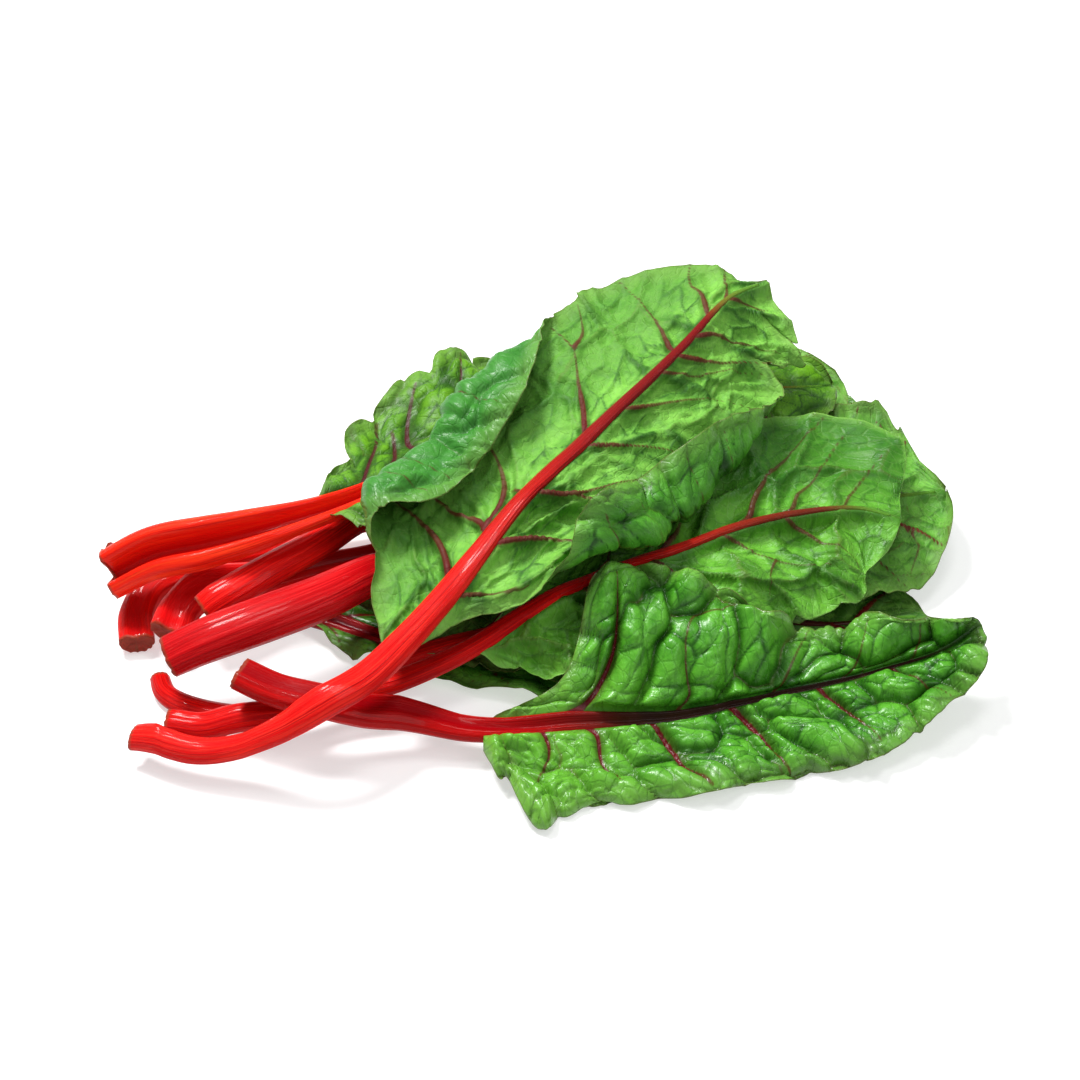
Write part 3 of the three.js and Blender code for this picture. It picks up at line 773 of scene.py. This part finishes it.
def gridFaces(rows, columns, wrap=False):
    # quads (i,j) (i+1,j) (i+1,j+1) (i,j+1); the last column joins the first where it wraps
    i, j = np.meshgrid(np.arange(rows - 1), np.arange(columns - (not wrap)), indexing="ij")
    right = (j + 1) % columns
    quad = np.stack([i * columns + j, (i + 1) * columns + j,
                     (i + 1) * columns + right, i * columns + right], -1)
    return quad.reshape(-1, 4)


def makeBlade(leaf, points, fields, material):
    # two skins, half a sheet to each side of the middle surface and closer over the last 4 mm,
    # joined round the margin. The back carries the side veins as ridges, 0.8 half width
    # exp(-(d / (half width + 0.9))^2), and lower ones on the borders of the biggest cells
    rows, columns = points.shape[:2]
    normal = np.cross(np.gradient(points, axis=0), np.gradient(points, axis=1))
    normal /= np.linalg.norm(normal, axis=-1, keepdims=True) + 1e-9
    veinGap, veinHalf, marginGap = fields["veinGap"], fields["veinHalf"], fields["marginGap"]
    half = leafSet["sheet"] / 2 * (0.3 + 0.7 * smoothStep(marginGap, 0, 4))
    ridge = (0.8 * veinHalf * np.exp(-((veinGap + veinHalf) / (veinHalf + 0.9)) ** 2) +
             0.3 * np.exp(-(fields["netGap"] / 0.9) ** 2)) * smoothStep(marginGap, 0, 3)
    upper, lower = (half + ridge, half) if leaf["backUp"] else (half, half + ridge)
    top = points + normal * upper[..., None]
    bottom = points - normal * lower[..., None]
    quads = gridFaces(rows, columns)
    count = rows * columns
    index = np.arange(count).reshape(rows, columns)
    loop = np.concatenate([index[0, :-1], index[:-1, -1], index[-1, :0:-1], index[:0:-1, 0]])
    after = np.roll(loop, -1)
    strip = np.stack([loop, after, after + count, loop + count], -1)
    faces = np.concatenate([quads, quads[:, ::-1] + count, strip])
    both = {key: np.tile(values.ravel(), 2) for key, values in fields.items()}
    along, across = both.pop("along"), both.pop("across")
    faceSide = np.repeat([0.0, 1.0] if leaf["backUp"] else [1.0, 0.0], count)
    return fillPiece(leaf["name"] + "_surface",
                     np.concatenate([top.reshape(-1, 3), bottom.reshape(-1, 3)]),
                     faces.tolist(),
                     {"leafPlace": np.stack([along, across, 0 * along], -1),
                      "faceSide": faceSide, **both}, material)


def makeStalk(leaf, points, along, cutMiddle, material):
    # the tube, with its cut end closed on one point and its thin end on another; its pattern lies
    # on a round tube: (mm along, radius cos(turn), radius sin(turn))
    radius = stalkSet["patternRadius"]
    rings, sides = points.shape[:2]
    count = rings * sides
    quads = gridFaces(rings, sides, wrap=True)
    ring = np.arange(sides)
    nextRing = (ring + 1) % sides
    last = (rings - 1) * sides
    startFan = np.stack([np.full(sides, count), ring, nextRing], -1)
    endFan = np.stack([np.full(sides, count + 1), last + nextRing, last + ring], -1)
    if leaf["backUp"]:
        quads, startFan, endFan = quads[:, ::-1], startFan[:, ::-1], endFan[:, ::-1]
    faces = [*quads.tolist(), *startFan.tolist(), *endFan.tolist()]
    everything = np.concatenate([points.reshape(-1, 3), cutMiddle[None],
                                 points[-1].mean(0)[None]])
    mm = np.repeat(along, sides)
    turn = np.tile(ring / sides * 2 * np.pi, rings)
    around = np.stack([mm, radius * np.cos(turn), radius * np.sin(turn)], -1)
    ends = np.array([[along[0], 0, 0], [along[-1], 0, 0]])
    gap = np.concatenate([mm, ends[:, 0]])
    return fillPiece(leaf["name"] + "_rib", everything, faces,
                     {"leafPlace": np.concatenate([around, ends]), "cutGap": gap,
                      "ribShare": gap / along[-1]}, material)


def plainHalf(reach, rise, curl):
    # rows of a half that widens to its reach, risen most in the middle, and narrows to the tip
    return [[0, 4, 0, 0, 0, 1, 0], [0.3, 0.92 * reach, rise, curl, 0, 1, -8],
            [0.7, reach, rise, curl, 0, 1, 4], [1, 0.55 * reach, rise / 2, 0, 0, 1, 0]]


# Each leaf, from the bottom of the pile up. Its shape, much as in the solids:
#   route    underside of the stalk and midrib, from the cut end to the tip
#   widths   stalk width at shares of the route
#   roll     degrees the leaf is turned about its route, at shares of it, unless it lies flat
#   blade    share of the route where the blade starts
#   near, far   the two halves of the blade at shares of its length: share, reach, rise, curl,
#            fold, where it folds, lean along the route. Reach is measured along the surface;
#            rise is the angle at the midrib, curl what it gains by the margin and fold a
#            sharper turn, all in degrees towards the sky
#   channel  height of the bottom of the stalk's channel, at shares of the route
#   ruffle   height of the long waves along the margins
#   backUp   the underside of the leaf faces the sky
#   rows, columns   how finely the blade, and each half of it, is divided
# Its finer relief and its colours:
#   crinkle  height of the big, middle and small blisters between the veins, mm
#   blister  size of the big, middle and small blisters, mm
#   patch    times by which the blisters of the near and the far half are bigger and higher
#   sides    share of the blisters' height that the near and the far half take
#   crumple  where blisters stand further out and in: half, share, reach share, radius, times
#   sway     height of broad bumps, mm
#   frill    height of the small waves along the margins, and share of the reach they are notched
#   lobe     length of the rounded lobes between those notches, mm
#   lobes    what a stretch of margin stands out by: half, share, half its length as a share, mm
#   turn     degrees the margins of the near and the far half turn up, or down below 0
#   veins    side veins: half, (share, reach share) points, width at the start; or how many
#            are set evenly along each half
#   green, red   what sets the blade's and the stalk's finish apart from the common looks
hiddenLeaf = {  # shared by the leaves whose blades are mostly out of sight
    "backUp": False, "ruffle": 3, "rows": 90, "columns": 28,
    "crinkle": (2.2, 1.0, 0.3), "blister": (22, 10, 5), "frill": (3, 0.04), "turn": (40, 40),
    "veins": 5,
}
floorLeaf = {
    "name": "floor_leaf", **hiddenLeaf,
    "route": [[-215, 49, 1], [-166, 24, 1], [-109, -1, 1], [-71, -19, 2], [-33, -25, 3],
              [10, -29, 4], [57, -25, 4], [110, -16, 3]],
    "widths": [[0, 10], [0.35, 12], [0.5, 9], [0.8, 4], [1, 1.6]],
    "blade": 0.28,
    "near": [[0, 3, 0, 0, 0, 1, 0], [0.15, 13, 0, 0, 0, 1, 0], [0.3, 20, 0, 0, 0, 1, -4],
             [0.7, 34, 0, 0, 0, 1, 4], [1, 19, 0, 0, 0, 1, 0]],
    "far": plainHalf(54, 4, 0),
    "red": {"body": (0.22, 0.004, 0.006), "bright": (0.3, 0.006, 0.008)},
}
rearLeaf = {
    "name": "rear_leaf", **hiddenLeaf,
    "route": [[-191, -22, 1], [-193, -4, 2], [-187, 11, 4], [-170, 21, 5], [-146, 34, 6],
              [-113, 53, 7], [-79, 64, 8], [-40, 80, 8], [10, 99, 8], [62, 119, 8],
              [115, 141, 8], [169, 158, 8]],
    "widths": [[0, 17], [0.22, 16], [0.4, 11], [0.7, 5], [1, 1.6]],
    "blade": 0.38,
    "near": plainHalf(60, 4, -6), "far": plainHalf(52, 6, -10),
    "channel": [[0, 0.95], [1, 0.95]],
    "red": {"body": (0.54, 0.004, 0.003), "grooveShade": (0.44, 0.002, 0.003),
            "darkStripeAndShade": (0.34, 0.001, 0.002)},
}
innerLeaf = {
    "name": "inner_leaf", **hiddenLeaf,
    "route": [[-174, -26, 2], [-170, -11, 4], [-160, 0, 6], [-139, 8, 8], [-111, 20, 10],
              [-78, 32, 11], [-29, 48, 12], [30, 64, 13], [90, 72, 12], [151, 80, 10]],
    "widths": [[0, 18], [0.22, 18], [0.4, 11], [0.7, 5], [1, 1.6]],
    "blade": 0.36,
    "near": plainHalf(62, 2, -4), "far": plainHalf(62, 4, -6),
    "channel": [[0, 0.9], [1, 0.9]],
    "red": {"body": (0.62, 0.006, 0.006), "bright": (0.8, 0.012, 0.01),
            "grooveShade": (0.5, 0.003, 0.004), "darkStripeAndShade": (0.42, 0.001, 0.003)},
}
lowLeaf = {
    "name": "low_leaf", "backUp": True,
    "route": [[-178, -42, 1], [-174, -53, 1], [-165, -61, 1], [-151, -67, 1], [-137, -69, 1],
              [-114, -66, 1], [-93, -55, 1], [-65, -41, 2], [-33, -29, 3], [10, -23, 5],
              [57, -20, 6], [105, -15, 6], [153, -6, 4], [186, -2, 2]],
    "widths": [[0, 9], [0.08, 12], [0.2, 12], [0.4, 10], [0.7, 5], [1, 1.6]],
    "blade": 0.37,
    "near": plainHalf(30, -10, 0), "far": plainHalf(60, 4, 0),
    "ruffle": 3, "rows": 110, "columns": 34,
    "crinkle": (2.6, 1.2, 0.3), "blister": (20, 9, 5), "frill": (3.5, 0.05), "turn": (30, 30),
    "veins": 6,
    "green": {"back": (0.05, 0.13, 0.015)},
    "red": {"ribEnd": (0.06, 0.008, 0.005), "ribFrom": (0.4, 0.7)},
}
middleLeaf = {
    "name": "middle_leaf", "backUp": True,
    "route": [[-157, -19, 15], [-145, -11, 21], [-128, 4, 26], [-106, 24, 27], [-91, 40, 27],
              [-54, 61, 28], [-10, 84, 30], [51, 114, 31], [113, 142, 30], [158, 157, 27]],
    "widths": [[0, 15], [0.15, 17], [0.25, 17], [0.45, 11], [0.7, 5], [1, 1.6]],
    "roll": [[0, 10], [0.25, 5], [0.4, 0], [1, 0]],
    "blade": 0.33,
    "near": plainHalf(60, -6, -6), "far": plainHalf(56, 8, -20),
    "ruffle": 4, "rows": 130, "columns": 44,
    "crinkle": (2.6, 1.1, 0.35), "blister": (22, 10, 5), "sway": 3, "frill": (4, 0.05),
    "turn": (30, 30),
    "veins": 6,
    "red": {"body": (0.56, 0.003, 0.003), "bright": (0.78, 0.01, 0.006)},
}
farLeaf = {
    "name": "far_leaf", "backUp": True,
    "route": [[-170, -51, 22], [-152, -46, 28], [-126, -35, 31], [-103, -22, 31], [-76, -1, 29],
              [-43, 16, 27], [10, 28, 30], [78, 43, 30], [153, 60, 26], [202, 73, 22]],
    "widths": [[0, 21], [0.1, 23], [0.22, 22.5], [0.34, 17], [0.45, 12], [0.7, 6], [1, 2]],
    "roll": [[0, 25], [0.2, 15], [0.4, 0], [1, 0]],
    "blade": 0.32,
    "near": [[0, 4, 0, 0, 0, 1, 0], [0.3, 61, -6, -8, 0, 1, -8], [0.7, 66, -6, -8, 0, 1, 4],
             [1, 44, -3, 0, 0, 1, 0]],
    "far": [[0, 4, 0, 0, 0, 1, 0], [0.3, 64, 6, -6, 0, 1, -8], [0.7, 68, 6, -6, 0, 1, 4],
            [0.84, 62, 6, -4, 0, 1, 4], [0.92, 74, 4, 0, 0, 1, 8], [1, 44, 2, 0, 0, 1, 0]],
    "ruffle": 5, "rows": 160, "columns": 56,
    "crinkle": (2.8, 1.2, 0.35), "blister": (22, 10, 5), "sway": 3.5, "frill": (4.5, 0.05),
    "lobes": [(1, 0.9, 0.012, -5), (1, 0.94, 0.01, -9), (1, 0.972, 0.014, 30)],
    "turn": (30, 30),
    "veins": 7,
    "green": {"back": (0.09, 0.3, 0.028), "backCrownLight": (0.17, 0.44, 0.055)},
    "red": {"body": (0.42, 0.002, 0.004), "bright": (0.54, 0.008, 0.01),
            "darkStripeAndShade": (0.22, 0.0, 0.003), "ribEnd": (0.1, 0.015, 0.008), "ribFrom": (0.5, 0.8)},
}
broadLeaf = {
    "name": "broad_leaf", "backUp": False,
    "route": [[-201, 5, 23], [-182, 7, 33], [-158, 8, 39], [-128, 14, 44], [-90, 32, 45],
              [-53, 60, 44], [-9, 78, 44], [50, 103, 45], [106, 125, 42], [150, 139, 36]],
    "widths": [[0, 24], [0.1, 26], [0.17, 22], [0.25, 17], [0.34, 14], [0.45, 11], [0.7, 6],
               [1, 2]],
    "roll": [[0, 28], [0.16, 24], [0.4, -8], [0.5, -4], [1, 0]],
    "blade": 0.27,
    "near": [[0, 6, 40, 0, 0, 1, 0], [0.06, 20, 22, 0, 0, 1, -6], [0.15, 34, -5, -4, 0, 1, -6],
             [0.3, 50, -6, -8, 0, 1, -8], [0.7, 60, -10, -8, 0, 1, 4], [1, 34, -4, 0, 0, 1, 0]],
    "far": [[0, 6, -25, 0, 0, 1, 0], [0.08, 24, 2, -6, 0, 1, 6], [0.13, 39, 16, -8, 0, 1, 6],
            [0.18, 49, 21, -10, 0, 1, 6], [0.3, 69, 20, -12, 0, 1, 4],
            [0.4, 71, 18, -16, 0, 1, 2], [0.5, 69, 15, -20, 0, 1, 0], [0.8, 58, 8, -30, 0, 1, 4],
            [1, 32, 0, 0, 0, 1, 0]],
    "channel": [[0, 0.3], [1, 0.3]],
    "ruffle": 6, "rows": 190, "columns": 66,
    "crinkle": (3.2, 1.3, 0.4), "blister": (24, 10, 5), "sway": 2.5,
    "frill": (3.5, 0.05), "lobe": 40, "turn": (30, 35),
    "lobes": [(-1, 0.07, 0.025, 12), (1, 0.05, 0.03, 10), (1, 0.105, 0.007, -5),
              (1, 0.145, 0.028, 5), (1, 0.19, 0.007, -6), (1, 0.235, 0.03, 3),
              (1, 0.285, 0.008, -6), (1, 0.33, 0.03, 2), (1, 0.38, 0.007, -5)],
    "veins": [
        (1, [(0.07, 0), (0.14, 0.5), (0.18, 0.7), (0.2, 0.9)], 2.4),
        (1, [(0.12, 0), (0.18, 0.3), (0.2, 0.5), (0.21, 0.7)], 2.6),
        (1, [(0.2, 0), (0.23, 0.24), (0.22, 0.42), (0.23, 0.62), (0.26, 0.9)], 3),
        (1, [(0.22, 0), (0.25, 0.27), (0.29, 0.41), (0.33, 0.7), (0.35, 0.97)], 3),
        (1, [(0.36, 0), (0.42, 0.4), (0.46, 0.9)], 1.8),
        (1, [(0.52, 0), (0.58, 0.4), (0.62, 0.9)], 2.2),
        (1, [(0.7, 0), (0.75, 0.4), (0.8, 0.9)], 1.8),
        (-1, [(0.2, 0), (0.26, 0.4), (0.3, 0.9)], 2.6),
        (-1, [(0.4, 0), (0.46, 0.4), (0.5, 0.9)], 2.4),
        (-1, [(0.6, 0), (0.66, 0.4), (0.7, 0.9)], 2.2),
        (-1, [(0.78, 0), (0.83, 0.4), (0.87, 0.9)], 1.8),
    ],
    "green": {"vein": (0.07, 0.005, 0.008), "veinEnd": (0.06, 0.008, 0.01),
              "veinSide": (0.03, 0.06, 0.006), "face": (0.06, 0.2, 0.005),
              "faceCrownLight": (0.13, 0.33, 0.008), "faceCreaseShade": (0.014, 0.065, 0.003),
              "rough": (0.42, 0.55), "coat": 0.03, "net": 0.6},
    "red": {"body": (0.85, 0.018, 0.006), "bright": (0.95, 0.045, 0.01),
            "grooveShade": (0.4, 0.001, 0.002), "darkStripeAndShade": (0.48, 0.002, 0.002)},
}
rightLeaf = {
    "name": "right_leaf", "backUp": True,
    "route": [[-170, -79, 2], [-154, -82, 2], [-136, -80, 6], [-113, -77, 9], [-91, -68, 12],
              [-64, -61, 16], [-32, -47, 23], [2, -29, 33], [38, -11, 39], [68, 3, 43],
              [95, 16, 46], [124, 24, 48], [153, 30, 46], [173, 27, 42]],
    "widths": [[0, 12], [0.2, 14], [0.45, 10], [0.7, 6], [0.85, 4], [1, 1.6]],
    "blade": 0.4,
    "near": [[0, 4, -10, 0, 0, 1, 0], [0.15, 28, -16, 0, 0, 1, -10], [0.3, 42, -22, -6, 0, 1, -6],
             [0.5, 60, -22, -14, 0, 1, 0], [0.65, 62, -23, -18, 0, 1, 2],
             [0.8, 52, -22, -20, 0, 1, 4], [1, 40, -20, 0, 0, 1, 0]],
    "far": [[0, 4, 5, 0, 0, 1, 0], [0.3, 24, 8, 0, 0, 1, -4], [0.5, 34, 7, 0, 0, 1, -4],
            [0.66, 36, 6, 2, 0, 1, -4], [0.74, 62, 6, 4, 0, 1, -4], [0.86, 70, 4, 4, 0, 1, 4],
            [0.94, 72, 2, 2, 0, 1, 8], [1, 62, 0, 0, 0, 1, 0]],
    "ruffle": 4, "rows": 190, "columns": 76,
    "crinkle": (5.5, 2.2, 0.4), "blister": (32, 14, 6),
    "crumple": [(-1, 0.12, 0.6, 24, 1.6), (-1, 0.3, 0.5, 26, 0.9)], "sway": 4,
    "frill": (2.5, 0.05), "lobe": 26, "turn": (20, 20),
    "lobes": [(1, 0.62, 0.02, -9), (1, 0.69, 0.02, 5), (1, 0.755, 0.01, -7)],
    "veins": [
        (1, [(0.28, 0), (0.34, 0.3), (0.38, 0.7), (0.4, 0.95)], 1.6),
        (1, [(0.44, 0), (0.5, 0.3), (0.55, 0.6), (0.6, 0.95)], 1.7),
        (1, [(0.62, 0), (0.67, 0.18), (0.7, 0.36), (0.76, 0.51), (0.82, 0.66), (0.88, 0.95)], 1.8),
        (1, [(0.73, 0), (0.77, 0.13), (0.8, 0.27), (0.85, 0.41), (0.9, 0.8)], 1.5),
        (1, [(0.87, 0), (0.91, 0.28), (0.94, 0.6)], 1.2),
        (-1, [(0.24, 0), (0.3, 0.4), (0.32, 0.9)], 1.5),
        (-1, [(0.41, 0), (0.46, 0.3), (0.5, 0.7), (0.52, 0.95)], 1.5),
        (-1, [(0.58, 0), (0.62, 0.12), (0.64, 0.26), (0.68, 0.42), (0.74, 0.56), (0.8, 0.6)], 1.4),
        (-1, [(0.68, 0.42), (0.64, 0.57), (0.61, 0.75)], 1.2),
        (-1, [(0.73, 0), (0.78, 0.18), (0.81, 0.34), (0.87, 0.58), (0.9, 0.9)], 1.4),
    ],
    "green": {"vein": (0.1, 0.012, 0.008), "back": (0.08, 0.29, 0.02),
              "backCrownLight": (0.15, 0.42, 0.04), "farBackShade": (0.016, 0.11, 0.006),
              "margin": (0.17, 0.4, 0.06), "marginReach": 4, "rim": (0.2, 0.4, 0.08),
              "backRough": 0.1, "net": 0.6},
    "red": {"ribEnd": (0.14, 0.02, 0.008)},
}
frontLeaf = {
    "name": "front_leaf", "backUp": False,
    "route": [[-137, -72, 28], [-120, -79, 24], [-100, -85, 22], [-80, -86, 16], [-55, -84, 10],
              [-27, -87, 8], [9, -83, 7], [46, -79, 6], [83, -70, 6], [120, -59, 8],
              [158, -50, 14], [186, -45, 22], [205, -35, 30]],
    "widths": [[0, 18], [0.1, 18], [0.28, 15], [0.5, 8], [0.65, 4.5], [0.8, 3], [1, 1.6]],
    "blade": 0.325,
    "near": [[0, 12, -6, 0, 0, 1, 0], [0.05, 31, -8, 0, 0, 1, -4], [0.14, 48, -6, 0, 0, 1, -8],
             [0.3, 42, -6, 0, 0, 1, 0], [0.55, 46, -6, 0, 0, 1, 0], [0.75, 44, -8, 0, 0, 1, 2],
             [0.88, 30, -8, 0, 0, 1, 2], [1, 12, -10, 0, 0, 1, 0]],
    "far": [[0, 4, 14, 0, 0, 1, 0], [0.1, 14, 20, 0, 0, 1, 0], [0.18, 25, 26, 0, 0, 1, -2],
            [0.25, 62, 36, -10, 0, 1, -6], [0.38, 64, 38, -16, 0, 1, 0],
            [0.5, 50, 44, -34, 0, 1, 0], [0.6, 30, 54, -56, 0, 1, 0], [0.8, 23, 54, -60, 0, 1, 0],
            [1, 20, 30, -20, 0, 1, 0]],
    "channel": [[0, 0.98], [0.28, 0.9], [0.4, 0.5], [1, 0.5]],
    "ruffle": 5, "rows": 240, "columns": 80,
    "crinkle": (8, 2.4, 0.6), "blister": (28, 12, 6), "patch": (0.88, 1.25),
    "crumple": [(-1, 0.1, 0.7, 24, 0.6)], "sway": 1.5,
    "frill": (2.5, 0.035), "lobe": 30, "turn": (-50, 40),
    "lobes": [(-1, 0.1, 0.03, 8), (-1, 0.05, 0.012, -8)],
    "veins": [
        (1, [(0.1, 0), (0.19, 0.2), (0.23, 0.31), (0.26, 0.42), (0.28, 0.6), (0.3, 0.9)], 3.2),
        (1, [(0.36, 0), (0.4, 0.14), (0.4, 0.3), (0.41, 0.46), (0.44, 0.62), (0.51, 0.74),
             (0.55, 0.95)], 1.3),
        (1, [(0.56, 0), (0.6, 0.3), (0.64, 0.65), (0.67, 0.95)], 1.1),
        (1, [(0.7, 0), (0.75, 0.4), (0.79, 0.9)], 1.0),
        (1, [(0.84, 0), (0.88, 0.5), (0.9, 0.9)], 0.9),
        (-1, [(0.1, 0), (0.12, 0.3), (0.1, 0.7)], 2.4),
        (-1, [(0.17, 0), (0.21, 0.15), (0.22, 0.45), (0.25, 0.8)], 2.8),
        (-1, [(0.29, 0), (0.32, 0.12), (0.34, 0.4), (0.35, 0.7), (0.38, 0.95)], 3.6),
        (-1, [(0.47, 0), (0.5, 0.28), (0.515, 0.6), (0.53, 0.95)], 3),
        (-1, [(0.65, 0), (0.69, 0.4), (0.72, 0.9)], 2.2),
        (-1, [(0.8, 0), (0.84, 0.4), (0.88, 0.9)], 1.6),
    ],
    "green": {"vein": (0.13, 0.004, 0.008), "nearBasePaleAndLit": (0.13, 0.38, 0.03)},
    "red": {"body": (0.36, 0.001, 0.001), "bright": (0.48, 0.002, 0.002),
            "grooveShade": (0.24, 0.0, 0.002), "streak": (0.6, 0.03, 0.025),
            "ribEnd": (0.03, 0.009, 0.005), "ribFrom": (0.36, 0.55), "tip": (0.02, 0.09, 0.008)},
}
topLeaf = {
    "name": "top_leaf", "backUp": True,
    "route": [[-183, -91, 3], [-156, -102, 8], [-130, -105, 17], [-109, -105, 27], [-92, -98, 36],
              [-77, -85, 40], [-61, -65, 44], [-45, -44, 50], [-18, -7, 61], [10, 27, 73],
              [38, 59, 83], [68, 95, 92], [94, 130, 99], [114, 146, 98]],
    "widths": [[0, 12], [0.2, 14], [0.28, 15.5], [0.4, 13.5], [0.6, 9.5], [0.8, 5.5], [1, 2]],
    "blade": 0.32,
    "near": [[0, 4, -10, 0, 0, 1, 0], [0.13, 14, -30, 0, 0, 1, 0],
             [0.18, 28, -36, 0, 26, 0.96, 0], [0.23, 48, -38, -6, 116, 0.87, 0],
             [0.28, 72, -40, -10, 168, 0.76, 0], [0.36, 98, -40, -12, 182, 0.7, 0],
             [0.46, 104, -40, -14, 185, 0.69, 0], [0.6, 88, -42, -14, 185, 0.72, 4],
             [0.7, 73, -40, -10, 172, 0.79, 8], [0.77, 60, -38, -10, 112, 0.9, 12],
             [0.82, 50, -34, -6, 20, 0.98, 10], [0.87, 44, -30, -4, 0, 1, 8],
             [0.92, 48, -26, 0, 0, 1, 10], [1, 36, -20, 0, 0, 1, 0]],
    "far": [[0, 4, 0, 0, 0, 1, 0], [0.05, 20, 4, 0, 0, 1, 0], [0.1, 31, 4, 0, 20, 1, -4],
            [0.15, 42, 4, 0, 80, 0.93, -2], [0.2, 68, 4, 0, 150, 0.82, 0],
            [0.25, 90, 4, 0, 178, 0.7, 0], [0.31, 96, 4, 0, 182, 0.66, 0],
            [0.42, 90, 4, 0, 185, 0.69, 0], [0.53, 88, 4, 0, 182, 0.73, 0],
            [0.59, 81, 4, 0, 172, 0.79, 0], [0.64, 73, 4, 0, 130, 0.87, 0],
            [0.69, 66, 4, 0, 60, 0.95, 0], [0.74, 64, 4, 0, 0, 1, 1], [0.8, 66, 4, 0, 0, 1, 2],
            [0.9, 42, 4, 0, 0, 1, 4], [1, 28, 0, 0, 0, 1, 0]],
    "ruffle": 2.5, "rows": 250, "columns": 94,
    "crinkle": (4.6, 3.0, 0.7), "blister": (38, 14, 5.5), "sides": (0.85, 0.9), "sway": 4,
    "frill": (1.0, 0.025), "lobe": 34, "turn": (20, 15),
    "lobes": [(-1, 0.835, 0.015, -12), (-1, 0.9, 0.013, 6), (-1, 0.936, 0.011, -18),
              (-1, 0.967, 0.014, 16)],
    "veins": [
        (1, [(0.13, 0), (0.18, 0.12), (0.23, 0.3), (0.25, 0.56), (0.27, 0.95)], 2.1),
        (1, [(0.255, 0), (0.29, 0.12), (0.29, 0.28), (0.3, 0.55), (0.32, 0.95)], 1.9),
        (1, [(0.28, 0.08), (0.34, 0.12), (0.37, 0.18), (0.4, 0.3), (0.44, 0.6), (0.47, 0.95)], 1.8),
        (1, [(0.36, 0), (0.37, 0.1), (0.37, 0.18)], 1.8),
        (1, [(0.51, 0), (0.56, 0.16), (0.61, 0.37), (0.66, 0.61)], 2),
        (1, [(0.66, 0.61), (0.7, 0.72), (0.75, 0.95)], 1.4),
        (1, [(0.66, 0.61), (0.67, 0.77), (0.68, 0.97)], 1.2),
        (1, [(0.75, 0), (0.76, 0.09), (0.8, 0.3), (0.82, 0.5), (0.85, 0.97)], 1.7),
        (1, [(0.85, 0), (0.89, 0.29), (0.9, 0.55), (0.93, 0.95)], 1.6),
        (1, [(0.9, 0), (0.92, 0.1), (0.95, 0.49), (0.98, 0.9)], 1.5),
        (-1, [(0.9, 0), (0.94, 0.13), (0.98, 0.4)], 1.4),
        (-1, [(0.79, 0), (0.83, 0.15), (0.85, 0.37), (0.9, 0.8)], 1.7),
        (-1, [(0.74, 0), (0.77, 0.16), (0.79, 0.31), (0.84, 0.7), (0.87, 0.95)], 1.7),
        (-1, [(0.69, 0), (0.72, 0.1), (0.75, 0.25), (0.8, 0.5), (0.84, 0.95)], 1.4),
        (-1, [(0.58, 0), (0.64, 0.13), (0.68, 0.24), (0.73, 0.45), (0.77, 0.95)], 1.5),
        (-1, [(0.49, 0), (0.53, 0.13), (0.56, 0.26), (0.62, 0.6), (0.66, 0.95)], 1.6),
        (-1, [(0.36, 0), (0.4, 0.2), (0.44, 0.28), (0.5, 0.38), (0.55, 0.7), (0.57, 0.95)], 1.6),
        (-1, [(0.4, 0.2), (0.41, 0.36), (0.4, 0.48), (0.42, 0.9)], 1.4),
        (-1, [(0.24, 0), (0.28, 0.2), (0.31, 0.5), (0.33, 0.9)], 2),
        (-1, [(0.12, 0), (0.16, 0.35), (0.22, 0.75)], 2),
    ],
    "green": {"vein": (0.12, 0.004, 0.005), "farFace": (0.033, 0.18, 0.022),
              "faceCreaseShade": (0.005, 0.04, 0.002), "face": (0.034, 0.18, 0.009),
              "faceCrownLight": (0.1, 0.36, 0.028), "backCreaseShade": (0.016, 0.085, 0.005),
              "back": (0.095, 0.3, 0.028), "backCrownLight": (0.21, 0.49, 0.07),
              "farBackShade": (0.055, 0.19, 0.018), "rough": (0.36, 0.5), "coat": 0.08,
              "net": 0.45, "fade": 0.7},
    "red": {"body": (0.6, 0.004, 0.004), "bright": (0.8, 0.02, 0.012),
            "ribEnd": (0.17, 0.008, 0.008), "ribFrom": (0.3, 0.8)},
}
pileOrder = [floorLeaf, rearLeaf, innerLeaf, lowLeaf, middleLeaf, farLeaf, broadLeaf,
             rightLeaf, frontLeaf, topLeaf]

# each leaf is laid on the pile and made before the next one
pile = np.full(pileMap["columns"] * pileMap["rows"], -pileMap["gap"])
for leaf in pileOrder:
    if isinstance(leaf["veins"], int):
        leaf["veins"] = featherVeins(leaf, leaf["veins"])
    bladePoints, fields, stalkPoints, along, cutMiddle = stackLeaf(leaf, pile)
    name = leaf["name"]
    blade = makeBlade(leaf, bladePoints, fields,
                      bladeFinish(name + "_green", leaf.get("green", {})))
    stalk = makeStalk(leaf, stalkPoints, along, cutMiddle,
                      stalkFinish(name + "_red", leaf.get("red", {})))
    for piece, node, slotName in ((blade, name + "_blade", "blade"),
                                  (stalk, name + "_stalk", "stalk")):
        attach(piece, "root")
        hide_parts(node)
    print("made", name, len(blade.data.vertices), "points in its blade")

reach = studio["floorReach"]
corners = np.array([[-reach, -reach, 0], [reach, -reach, 0], [reach, reach, 0],
                    [-reach, reach, 0]], float)
floorWhite = Finish(bpy.data.materials.new("floorWhite"), "Principled BSDF",
                    {"Base Color": studio["floor"], "Roughness": studio["floorRough"],
                     "Emission Color": studio["room"],
                     "Emission Strength": studio["floorGlow"]})
floor = fillPiece("floor", corners, [[0, 1, 2, 3]], {}, floorWhite.owner)
print("floor made")
